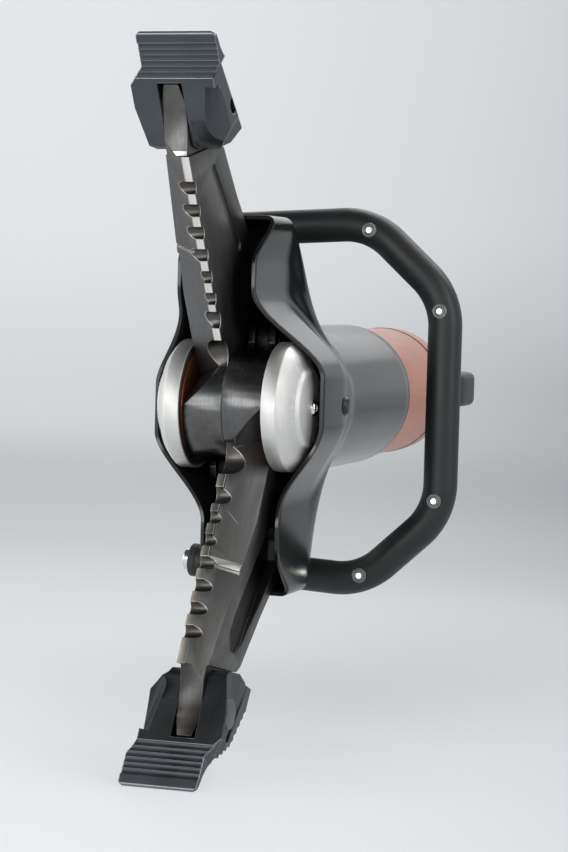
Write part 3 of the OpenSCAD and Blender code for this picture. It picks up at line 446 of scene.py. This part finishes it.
def armAxes(lower):
    # turns row coordinates to the closed arm's own
    turn = Matrix.Rotation(math.radians(armLook["open"]), 3, "X")
    if lower:
        turn = turn @ Matrix.Rotation(math.pi, 3, "Y")
    return Matrix(((0, -1, 0), (0, 0, 1), (-1, 0, 0))) @ turn


def notchAt(s, h, margin):
    small, rod = armLook["notches"], armLook["rodNotch"]
    up = h + armLook["drop"]
    for k in range(small["count"]):
        radius = small["radius"] if k else small["firstRadius"]
        away = math.hypot(s - small["first"] - k * small["pitch"], up + small["below"])
        if away < radius + margin:
            return True
    return math.hypot(s - rod["place"], up + rod["below"]) < rod["radius"] + margin


def within(value, span):
    return span[0] < value < span[1]


def armPart(s, h, d, up, across):
    # the part of the arm on which a face lies, from its middle and its normal
    look, tilt = armLook, armTilts
    radius = math.hypot(s, h)
    through = abs(across) < tilt["through"]
    if through and notchAt(s, h, look["notchSlack"]):
        return "notch"
    if through and s < look["hubReach"] and abs(radius - look["hub"]) < look["hubSlack"]:
        return "hub"
    if s < look["leverReach"] and radius > look["lever"]:
        return "lever"
    if up < tilt["strip"] and h < look["slack"] - look["drop"]:
        return "strip"
    if s > look["noseFrom"] and up < tilt["nose"][0] and abs(across) < tilt["nose"][1]:
        return "nose"
    if up < tilt["rib"][0] and across > tilt["rib"][1] and within(s, look["rib"]):
        return "edge"
    if up < tilt["bevel"][0] and across > tilt["bevel"][1] and s > look["bevelFrom"]:
        return "bevel"
    pocket = look["pocket"]
    if across > tilt["pocket"] and all(
            within(value, pocket[key]) for key, value in (("s", s), ("h", h), ("d", d))):
        return "pocket"
    return "blade"


def makeArm(name, lower):
    look = armLook
    axes = armAxes(lower)
    tilt = -look["open"] if lower else look["open"]
    turn = (math.radians(tilt), math.pi if lower else 0.0, 0.0)
    looks = {**steelLooks, **(lowerLooks if lower else {})}
    materials = [metalFinish(name + part.capitalize(), looks[part], turn) for part in armParts]
    rib = (look["rib"][0] - look["ribSlack"], look["rib"][1] + look["ribSlack"])

    def finish(place, normal):
        s, h, d = axes @ place
        part = armPart(s, h, d, *(axes @ normal)[1:])
        if not lower and part == "edge":
            part = "bevel"
        # painted highlight: the near end of the upper arm's nose takes the bright strip steel
        if not lower and part == "nose" and s < look["noseHighlightEnd"]:
            part = "strip"
        return armParts.index(part)

    def recolour(index, place):
        # broken edges shine where the arm rubs, and elsewhere have the finish beside them
        if armParts[index] != "edge":
            return index
        s, h, _ = axes @ place
        rubbed = s > look["rubbedFrom"] and h < look["rubbedHeight"] - look["drop"]
        ribbed = within(s, rib) and h < look["ribHeight"]
        if rubbed or ribbed or notchAt(s, h, look["notchRubbed"]):
            return index
        return armParts.index("hub" if math.hypot(s, h) < look["hubReach"] else "blade")

    worn(name, look["brokenEdge"], materials, finish, recolour)


makeArm("upper_arm", False)
makeArm("lower_arm", True)
print("arms ready")

# Tips: coated, and bright on the outer corners of their ridges, partly rubbed wear and partly
# painted highlight; the lower tip's flats have a darker copy of the coat, which is painted shade
tipLook = {
    "brokenEdge": 0.6, "ridgesFrom": 204.0,  # in mm, the second one up or down from the pivot
    # a brighter coat on the ridges' outer corners: rubbed wear and a painted highlight along the
    # crests
    "rubbed": {
        "base": (0.20, 0.215, 0.23), "rough": 0.38, "metal": 1.0, "grainScale": 1300.0,
        "grain": 0.05, "dust": 0.10},
    # painted shade: a darker copy of the coat for the lower tip's flats
    "paintedShade": {
        "base": (0.047, 0.05, 0.053), "rough": 0.46, "metal": 1.0, "grainScale": 1300.0,
        "grain": 0.08, "dust": 0.10},
}


# faces nearer the pivot take the flats' finish, which on the lower tip is the darker painted shade
# copy
def ridgedPart(index, place):
    return max(1, index) if abs(place[2]) > tipLook["ridgesFrom"] else 0


tipCoat = slotLooks["tip_steel"]
rubbedAndHighlitCoat = coatFinish("rubbedAndHighlitCoat", tipLook["rubbed"])
paintedShadeCoat = coatFinish("paintedShadeCoat", tipLook["paintedShade"])
for name, flats in (("upper_tip", tipCoat), ("lower_tip", paintedShadeCoat)):
    worn(name, tipLook["brokenEdge"], [flats, tipCoat, rubbedAndHighlitCoat], None, ridgedPart, True)

# Everything else that keeps its CAD form, with the width of its broken edges in mm
edgeWidths = {
    "upper_tip_pin": 0.7, "lower_tip_pin": 0.7, "left_cap": 0.5, "right_cap": 0.5,
    "cap_screws": 0.6, "shell_screws": 0.6, "yoke": 0.8, "upper_bracket": 0.8,
    "lower_bracket": 0.8, "bracket_screws": 0.6, "button_collar": 1.2, "light_button": 1.1,
    "tube_plug": 1.2, "rear_housing": 0.8, "rear_grip": 5.5, "grip_screw": 0.5,
    "inlet_nipple": 0.3, "locking_sleeve": 0.5, "centre_bolt": 0.6, "bolt_nut": 0.4,
    "upper_link": 0.6, "lower_link": 0.6, "crosshead": 0.6, "joint_ring": 0.4,
    "cylinder_tube": 0.5, "thrust_washers": 0.2,
}
for name, width in edgeWidths.items():
    worn(name, width)
print("broken edges ready")

# Guard shell: the source's outline, drawn finer, with rolled rims. Sizes in mm, x and z across
# the mouth, y backwards from the pivot. Each pair with Run in its name is a start and a length
shellLook = {
    "mouth": 60.0, "wall": 3.0, "rimRoll": 1.0, "endRoll": 0.3,  # endRoll is a share of rimRoll
    "wingTop": 128.0, "wingIn": 17.0, "wingOut": 38.0, "inRun": (20.0, 58.0),
    "outRun": (12.0, 54.0), "flare": 4.0, "flareRun": (95.0, 30.0), "corner": 6.0,
    "rim": -4.0, "reach": 22.0, "reachRun": (25.0, 55.0), "back": 27.0, "backRun": (95.0, 33.0),
    "sleeve": 53.3, "from": 38.0, "to": 98.0, "end": 245.0,
    "sideRows": 24, "cornerRows": 4,  # the source's own rows, along a side and round a corner
    "rounds": 360, "rings": 64, "firstRing": 0.01, "sleeveRings": 12, "sharp": 38,
    "inside": {"base": (0.009, 0.009, 0.0095), "rough": 0.5, "grain": 0.2},
    "screwSeat": {"x": 58.9, "y": 50.0, "radius": 7.3, "deep": 20.0, "sides": 48},
}
rowsRound = 2 * (shellLook["sideRows"] + 3 * shellLook["cornerRows"])


def rise(value, start, length):
    # from 0 to 1 with a soft start and end
    t = min(1.0, max(0.0, (value - start) / length))
    return t * t * (3.0 - 2.0 * t)


def shellSide(z):
    look = shellLook
    if z >= 0:
        return (look["wingIn"] + (look["mouth"] - look["wingIn"]) * (1 - rise(z, *look["inRun"]))
                + look["flare"] * rise(z, *look["flareRun"]))
    return look["wingOut"] + (look["mouth"] - look["wingOut"]) * (1 - rise(-z, *look["outRun"]))


def shellRim(z):
    look = shellLook
    return (look["rim"] - look["reach"] * rise(abs(z), *look["reachRun"])
            + look["back"] * rise(abs(z), *look["backRun"]))


def mouthPoint(u):
    # u counts the source's rows round the mouth, which are the same again half a turn on
    look = shellLook
    sides, corners, radius = look["sideRows"], look["cornerRows"], look["corner"]
    u = u % rowsRound
    if u >= rowsRound / 2:
        x, z = mouthPoint(u - rowsRound / 2)
        return -x, -z
    top = look["wingTop"] - radius
    near = shellSide(look["wingTop"]) - radius
    far = radius - look["wingOut"]
    if u <= sides:
        z = top * (u / (sides / 2) - 1.0)
        return shellSide(z), z
    if u <= sides + corners:
        a = math.radians(90.0 / corners * (u - sides))
        return near + radius * math.cos(a), top + radius * math.sin(a)
    if u <= sides + 2 * corners:
        return near + (far - near) * ((u - sides - corners) / corners), look["wingTop"]
    a = math.radians(90.0 / corners * (u - sides - corners))
    return far + radius * math.cos(a), top + radius * math.sin(a)


def shellRows(look):
    # rings of points from the rim over the outer face to the end and back along the inner face,
    # and the number of the ring at which the inner face starts
    n, roll, wall = look["rounds"], look["rimRoll"], look["wall"]
    turns = [rowsRound * k / n for k in range(n)]
    spots = [mouthPoint(u) for u in turns]
    angles = [math.radians(360.0 * (u - look["sideRows"] / 2) / rowsRound) for u in turns]
    normals = []
    for k in range(n):
        ax, az = spots[(k - 2) % n]
        bx, bz = spots[(k + 2) % n]
        dx, dz = bx - ax, bz - az
        long = math.hypot(dx, dz)
        normals.append((dz / long, -dx / long))

    def ring(t, depth, back=0.0):
        # t from rim to sleeve, depth below the outer face, moved backwards
        points = []
        r = look["sleeve"] - depth
        for (x, z), (nx, nz), a in zip(spots, normals, angles):
            y = shellRim(z) + (look["to"] - shellRim(z)) * t
            b = rise(y, look["from"], look["to"] - look["from"])
            px, pz = x - nx * depth, z - nz * depth
            points.append((px + (r * math.cos(a) - px) * b, y + back,
                           pz + (r * math.sin(a) - pz) * b))
        return points

    def sleeveRing(y, depth):
        r = look["sleeve"] - depth
        return [(r * math.cos(a), y, r * math.sin(a)) for a in angles]

    def rolledRing(angle, depth, side):
        # on the quarter round that ends the wall, from depth inwards or outwards
        a = math.radians(angle)
        return ring(0.0, depth + side * roll * (1 - math.cos(a)), roll * (1 - math.sin(a)))

    first, count = look["firstRing"], look["rings"]
    shares = [first + (1 - first) * k / count for k in range(count + 1)]
    sleeveRun = look["end"] - roll - look["to"]
    rows = [rolledRing(angle, 0.0, 1) for angle in (60, 30)]
    rows += [ring(t, 0.0) for t in shares]
    rows += [sleeveRing(look["to"] + sleeveRun * k / look["sleeveRings"], 0.0)
             for k in range(1, look["sleeveRings"] + 1)]
    rows.append(sleeveRing(look["end"] - look["endRoll"] * roll, look["endRoll"] * roll))
    rows.append(sleeveRing(look["end"], roll))
    rows.append(sleeveRing(look["end"], wall))
    innerFrom = len(rows) - 1
    rows.append(sleeveRing(look["to"], wall))
    rows += [ring(t, wall) for t in reversed(shares)]
    rows += [rolledRing(angle, wall, -1) for angle in (30, 60)]
    return rows, innerFrom


def makeShell():
    look = shellLook
    rows, innerFrom = shellRows(look)
    n, count = look["rounds"], len(rows)
    verts = [(x * mm, y * mm, z * mm) for row in rows for x, y, z in row]
    faces = []
    inner = []
    for r in range(count):
        here, there = r * n, (r + 1) % count * n
        for k in range(n):
            side = (k + 1) % n
            faces.append((here + k, here + side, there + side, there + k))
            inner.append(innerFrom <= r < count - 1)
    mesh = bpy.data.meshes.new("guardShell")
    mesh.from_pydata(verts, [], faces)
    inside = coatFinish("shellInside", look["inside"])
    made = objectFrom("guardShell", mesh, [slotLooks["black_gloss"], inside])
    for face, isInner in zip(mesh.polygons, inner):
        face.material_index = 1 if isInner else 0
    fixed = bmesh.new()
    fixed.from_mesh(mesh)
    bmesh.ops.recalc_face_normals(fixed, faces=fixed.faces)
    fixed.to_mesh(mesh)
    fixed.free()
    cutSeats(made, look["screwSeat"])
    smoothed(made.data, look["sharp"])
    keep(made, "guard_shell")


def cutSeats(shell, look):
    # the seats of the two small screws, one on each side
    cutter = bmesh.new()
    radius, deep = look["radius"] * mm, look["deep"]
    for side in (1, -1):
        place = Vector((side * (look["x"] + deep / 2), look["y"], 0)) * mm
        bmesh.ops.create_cone(
            cutter, cap_ends=True, segments=look["sides"], radius1=radius, radius2=radius,
            depth=deep * mm,
            matrix=Matrix.Translation(place) @ Matrix.Rotation(math.pi / 2, 4, "Y"))
    mesh = bpy.data.meshes.new("screwSeats")
    cutter.to_mesh(mesh)
    cutter.free()
    seats = objectFrom("screwSeats", mesh, [slotLooks["black_gloss"]])
    cut = shell.modifiers.new("seats", "BOOLEAN")
    cut.object = seats
    cut.solver = "EXACT"
    plain(shell)
    bpy.data.objects.remove(seats)


makeShell()
print("shell ready")


# Geometry trees
def growTree(name, inputs, build):
    # named inputs, then a shape, which ends in real faces with one finish
    tree = bpy.data.node_groups.new(name, "GeometryNodeTree")
    for label, kind in inputs.items():
        tree.interface.new_socket(name=label, in_out="INPUT", socket_type="NodeSocket" + kind)
    tree.interface.new_socket(name="Mesh", in_out="OUTPUT", socket_type="NodeSocketGeometry")
    kit = Tree(tree)
    given = kit.node("NodeGroupInput").outputs
    real = kit.out("GeometryNodeRealizeInstances", {"Geometry": build(kit, given)})
    done = kit.out("GeometryNodeSetMaterial", {"Geometry": real, "Material": given["Finish"]})
    kit.node("NodeGroupOutput", {"Mesh": done})
    return tree


def runTree(name, verts, edges, tree, inputs):
    mesh = bpy.data.meshes.new(name)
    mesh.from_pydata(verts, edges, [])
    made = objectFrom(name, mesh)
    grow = made.modifiers.new("grow", "NODES")
    grow.node_group = tree
    for item in tree.interface.items_tree:
        if item.in_out == "INPUT" and item.name in inputs:
            grow[item.identifier] = inputs[item.name]
    return plain(made)


def circle(kit, sides, radius):
    return kit.out("GeometryNodeCurvePrimitiveCircle", {"Resolution": sides, "Radius": radius})


# Carry tube: a path along the handle, swept by a geometry tree. Sizes in mm, angles in degrees
tubeLook = {
    "plane": 112.0, "radius": 12.0, "sides": 56, "sharp": 40,
    "end": 66.0, "bendX": 57.0, "bendZ": 127.0, "longBar": 112.5,
    "slope": 3.3, "slant": 42.6, "bend": 48.0, "steps": 30, "straightSteps": 12,
    "lamps": (67.0, 14.0), "weld": 0.05,
}


def tubePath(look):
    # the whole path, with its lower half mirrored, and the lamps' places in the upper bends
    slope, slant, r = math.radians(look["slope"]), math.radians(look["slant"]), look["bend"]
    cut1 = r * math.tan((slope + slant) / 2)
    cut2 = r * math.tan((math.pi / 2 - slant) / 2)
    bar = Vector((math.cos(slope), math.sin(slope)))
    lean = Vector((math.cos(slant), -math.sin(slant)))
    corner1 = Vector((look["bendX"], look["bendZ"]))
    fall = (look["longBar"] - look["bendX"]) * math.tan(slant)
    corner2 = Vector((look["longBar"], look["bendZ"] - fall))
    start = corner1 - bar * (look["bendX"] + look["end"]) / math.cos(slope)
    centre1 = corner1 - bar * cut1 + r * Vector((math.sin(slope), -math.cos(slope)))
    centre2 = corner2 - lean * cut2 - r * Vector((math.sin(slant), math.cos(slant)))

    def onBend(centre, angle):
        a = math.radians(angle)
        return centre + r * Vector((math.cos(a), math.sin(a)))

    straight = look["straightSteps"]
    half = [start + (corner1 - bar * cut1 - start) * k / straight for k in range(straight)]
    for centre, first, last in ((centre1, 90 + look["slope"], 90 - look["slant"]),
                                (centre2, 90 - look["slant"], 0.0)):
        for k in range(look["steps"] + 1):
            half.append(onBend(centre, first + (last - first) * k / look["steps"]))
    lamps = [onBend(centre, a) for centre, a in zip((centre1, centre2), look["lamps"])]
    clean = [half[0]]
    for point in half[1:]:
        if (point - clean[-1]).length > look["weld"]:
            clean.append(point)
    path = clean + [Vector((p.x, -p.y)) for p in reversed(clean)]
    return [(p.x * mm, look["plane"] * mm, p.y * mm) for p in path], lamps


def tubeShape(kit, given):
    return kit.out("GeometryNodeCurveToMesh", {
        "Curve": kit.out("GeometryNodeMeshToCurve", {"Mesh": given["Path"]}),
        "Profile Curve": circle(kit, given["Sides"], given["Radius"]), "Fill Caps": True})


path, lampSpots = tubePath(tubeLook)
sweep = growTree("sweepAlongPath", {
    "Path": "Geometry", "Radius": "Float", "Sides": "Int", "Finish": "Material"}, tubeShape)
tube = runTree("carryTube", path, [(k, k + 1) for k in range(len(path) - 1)], sweep, {
    "Radius": tubeLook["radius"] * mm, "Sides": tubeLook["sides"],
    "Finish": slotLooks["black_satin"]})
smoothed(tube.data, tubeLook["sharp"])
keep(tube, "carry_handle")
print("carry tube ready")

# Lamps: a glass ring and a lens at each of the four places. Sizes in mm
lampLook = {
    "proud": 0.1, "sharp": 60,
    "ring": 4.35, "wire": 0.9, "ringSides": 40, "wireSides": 14,
    "lens": 3.9, "dome": 0.35, "lensSides": 36, "lensRings": 18,  # dome is a share of lens
    "ringGlass": {
        "base": (0.10, 0.115, 0.11), "rough": 0.10, "coat": 0.6, "coatRough": 0.03,
        "grain": 0.02},
    "glass": (0.16, 0.19, 0.18), "lit": (0.9, 0.95, 0.93), "rough": (0.07, 0.14),
    "cloud": 300.0,
    "spot": (1.0, 2.2), "glow": 30.0, "light": (0.95, 1.0, 0.88, 1.0),
}


def atPoints(shape):
    # a small shape, turned to the front, on every point of the mesh that the tree is given
    def build(kit, given):
        return kit.out("GeometryNodeInstanceOnPoints", {
            "Points": given["Points"], "Instance": shape(kit, given),
            "Rotation": (math.pi / 2, 0.0, 0.0)})

    return build


def ringShape(kit, given):
    return kit.out("GeometryNodeCurveToMesh", {
        "Curve": circle(kit, lampLook["ringSides"], given["Size"]),
        "Profile Curve": circle(kit, lampLook["wireSides"], given["Depth"])})


def lensShape(kit, given):
    ball = kit.out("GeometryNodeMeshUVSphere", {
        "Segments": lampLook["lensSides"], "Rings": lampLook["lensRings"],
        "Radius": given["Size"]})
    flat = kit.out("ShaderNodeCombineXYZ", {"X": 1.0, "Y": 1.0, "Z": given["Depth"]})
    return kit.out("GeometryNodeTransform", {"Geometry": ball, "Scale": flat})


def lensFinish(look, points):
    # clear glass with a small lit spot in the middle of each lens
    made = Finish("lensGlow")
    away = None
    for spot in points:
        far = made.node("ShaderNodeVectorMath", {0: made.spot, 1: spot},
                        operation="DISTANCE").outputs["Value"]
        away = made.math("MINIMUM", away, far) if away else far
    lit = made.spread(away, look["spot"][0] * mm, look["spot"][1] * mm, 1.0, 0.0)
    rough = made.spread(made.noise(look["cloud"], detail=2.0), *noiseRange, *look["rough"])
    made.set(Base_Color=made.blend(lit, look["glass"], look["lit"]), Roughness=rough,
             Emission_Color=look["light"],
             Emission_Strength=made.math("MULTIPLY", lit, look["glow"]))
    return made.material


lampFront = tubeLook["plane"] - tubeLook["radius"] - lampLook["proud"]
lampPoints = [(x * mm, lampFront * mm, side * z * mm) for x, z in lampSpots for side in (1, -1)]
lampInputs = {"Points": "Geometry", "Size": "Float", "Depth": "Float", "Finish": "Material"}
placeRings = growTree("placeRings", lampInputs, atPoints(ringShape))
placeLenses = growTree("placeLenses", lampInputs, atPoints(lensShape))
rings = runTree("lampRings", lampPoints, [], placeRings, {
    "Size": lampLook["ring"] * mm, "Depth": lampLook["wire"] * mm,
    "Finish": coatFinish("ringGlass", lampLook["ringGlass"])})
lenses = runTree("lampLenses", lampPoints, [], placeLenses, {
    "Size": lampLook["lens"] * mm, "Depth": lampLook["dome"],
    "Finish": lensFinish(lampLook, lampPoints)})
for piece, name in ((rings, "lamp_bezels"), (lenses, "lamp_lenses")):
    smoothed(piece.data, lampLook["sharp"])
    keep(piece, name)
print("lamps ready")

# Stage, in metres: a pale floor that rises into a backdrop, with tones for the camera and for
# reflections that hold painted light and shade, lighter on the left and darkest on the floor some
# way behind, and a painted shadow behind the lower tip; the lit floor holds the object's real
# shadow
stageLook = {
    "width": 9.0, "front": -3.0, "back": 3.4, "curve": 1.4, "height": 5.0, "steps": 24,
    "lit": (0.80, 0.82, 0.84), "cloudScale": 1.2, "cloud": 0.2, "cloudShade": 0.96,
    "rough": 0.5, "gloss": 0.25, "tint": (0.97, 1.0, 1.02),
    # painted light and shade: distance over the floor and up the backdrop, tone on the left, tone
    # on the right
    "tones": ((-0.2, 0.915, 0.71), (0.4, 0.74, 0.645), (1.35, 0.56, 0.37),
              (3.95, 0.77, 0.51), (5.05, 0.875, 0.68), (5.8, 0.88, 0.69)),
    # where the fan of tones starts, and its slopes from left to right
    "middle": (0.54, -1.585), "nearest": 0.4, "fan": (-0.45, -0.20),
    # the share of these tones in what the camera sees, near and far, and where it grows
    "own": (0.65, 0.85), "ownRun": (1.5, 4.5),
    # a painted shadow on the floor behind the lower tip
    "shade": {"place": (0.02, 0.40), "size": (0.25, 0.40, 0.3), "reach": 1.4, "tone": 0.77},
    # where that share becomes the whole: right of the fan, in front, and on both sides
    "besideRun": 0.3, "before": (-0.5, -1.2), "aside": (0.5, 1.0), "asideBack": (1.2, 0.3),
}


def stageMesh(look, low):
    rows = [(look["front"], 0.0)]
    for k in range(look["steps"] + 1):
        t = math.radians(90.0 * k / look["steps"])
        rows.append((look["back"] + look["curve"] * math.sin(t), look["curve"] * (1 - math.cos(t))))
    rows.append((look["back"] + look["curve"], look["height"]))
    verts = [(side * look["width"] / 2, y, low + z) for side in (-1, 1) for y, z in rows]
    n = len(rows)
    mesh = bpy.data.meshes.new("floor")
    mesh.from_pydata(verts, [], [(k, n + k, n + k + 1, k + 1) for k in range(n - 1)])
    mesh.shade_smooth()
    return mesh


def stageFinish(look, low):
    made = Finish("paleFloor")
    axes = made.node("ShaderNodeSeparateXYZ", {0: made.spot}).outputs
    cloud = made.noise(look["cloudScale"], detail=2.0, rough=0.4)
    cloudy = made.spread(cloud, *noiseRange, 0.0, look["cloud"])
    made.set(Base_Color=made.blend(cloudy, look["lit"], shade(look["lit"], look["cloudShade"])),
             Roughness=look["rough"], Specular_IOR_Level=look["gloss"])

    # the painted light and shade: two rows of tone steps along the floor, blended across the fan
    sideways = made.math("SUBTRACT", axes[0], look["middle"][0])
    away = made.math("SUBTRACT", axes[1], look["middle"][1])
    turn = made.math("DIVIDE", sideways, made.math("MAXIMUM", away, look["nearest"]))
    across = made.math("POWER", made.spread(turn, *look["fan"]), 2.0)
    along = made.math("ADD", axes[1], made.math("SUBTRACT", axes[2], low))
    sides = []
    for side in (1, 2):
        level = look["tones"][0][side]
        for first, second in zip(look["tones"], look["tones"][1:]):
            step = made.spread(along, first[0], second[0], 0.0, second[side] - first[side],
                               "SMOOTHSTEP")
            level = made.math("ADD", level, step)
        sides.append(made.blend(1.0, made.grey(level), look["tint"], "MULTIPLY"))
    tone = made.blend(across, *sides)

    # painted shadow: the tones darken softly towards a spot on the floor behind the lower tip
    spot = look["shade"]
    near = made.out("ShaderNodeMapping", {
        "Vector": made.spot, "Location": (*spot["place"], low), "Scale": spot["size"]},
        vector_type="TEXTURE")
    far = made.node("ShaderNodeVectorMath", {0: near}, operation="LENGTH").outputs["Value"]
    paintedShade = made.spread(far, 0.0, spot["reach"], spot["tone"], 1.0, "SMOOTHSTEP")
    tone = made.blend(1.0, tone, made.grey(paintedShade), "MULTIPLY")

    right = look["fan"][1]
    beside = made.spread(turn, right, right + look["besideRun"])
    before = made.spread(axes[1], *look["before"])
    aside = made.math("MULTIPLY", made.spread(made.math("ABSOLUTE", axes[0]), *look["aside"]),
                      made.spread(axes[1], *look["asideBack"]))
    outside = made.math("MAXIMUM", beside, made.math("MAXIMUM", before, aside))

    # the camera and reflections see these tones, mixed with the lit floor that holds the shadow
    rays = made.node("ShaderNodeLightPath").outputs
    seen = made.math("MAXIMUM", rays["Is Glossy Ray"], rays["Is Transmission Ray"])
    seen = made.math("MAXIMUM", rays["Is Camera Ray"], seen)
    share = made.math("MAXIMUM", made.spread(along, *look["ownRun"], *look["own"]), outside)
    glow = made.out("ShaderNodeEmission", {"Color": tone, "Strength": 1.0})
    mix = made.out("ShaderNodeMixShader", {
        0: made.math("MULTIPLY", seen, share), 1: made.surface.outputs[0], 2: glow})
    made.put(mix, made.tree.nodes["Material Output"].inputs["Surface"])
    return made.material


floorLevel = cadBox[0][2]
floor = objectFrom("floor", stageMesh(stageLook, floorLevel), [stageFinish(stageLook, floorLevel)])

# Lights: places and sizes in metres, power in watts. Each softbox faces the pivot
softboxes = {
    "frontSoftbox": {"place": (-0.52, -1.60, 0.27), "size": (1.3, 0.6), "power": 10.0},
    "fillSoftbox": {"place": (0.62, -1.75, 0.45), "size": (0.9, 0.6), "power": 3.5},
    "topSoftbox": {"place": (0.40, 1.15, 1.50), "size": (2.0, 1.1), "power": 28.0},
    "leftSoftbox": {"place": (-1.70, -0.30, 0.35), "size": (0.7, 1.4), "power": 10.0},
    "backSoftbox": {"place": (-0.35, 1.95, 0.85), "size": (1.6, 0.7), "power": 2.2},
    "rightSoftbox": {"place": (1.60, -0.42, 0.72), "size": (0.55, 1.5), "power": 11.0},
}
for name, look in softboxes.items():
    lamp = bpy.data.objects.new(name, bpy.data.lights.new(name, "AREA"))
    lamp.data.shape = "RECTANGLE"
    lamp.data.size, lamp.data.size_y = look["size"]
    lamp.data.energy = look["power"]
    lamp.location = look["place"]
    lamp.rotation_euler = (-Vector(look["place"])).to_track_quat("-Z", "Y").to_euler()
    lamp.visible_camera = False
    bpy.context.collection.objects.link(lamp)

# the world is brighter near the horizon than overhead
worldLook = {"tint": (0.88, 0.93, 0.97, 1.0), "height": (0.12, 0.7), "strength": (0.85, 0.09)}
world = bpy.data.worlds.new("studio")
bpy.context.scene.world = world
world.use_nodes = True
room = Tree(world.node_tree)
direction = room.node("ShaderNodeTexCoord").outputs["Generated"]
height = room.node("ShaderNodeSeparateXYZ", {0: direction}).outputs["Z"]
sky = world.node_tree.nodes["Background"]
room.put(worldLook["tint"], sky.inputs["Color"])
room.put(room.spread(height, *worldLook["height"], *worldLook["strength"]), sky.inputs["Strength"])
bpy.context.scene.view_settings.view_transform = "Standard"
print("stage ready")
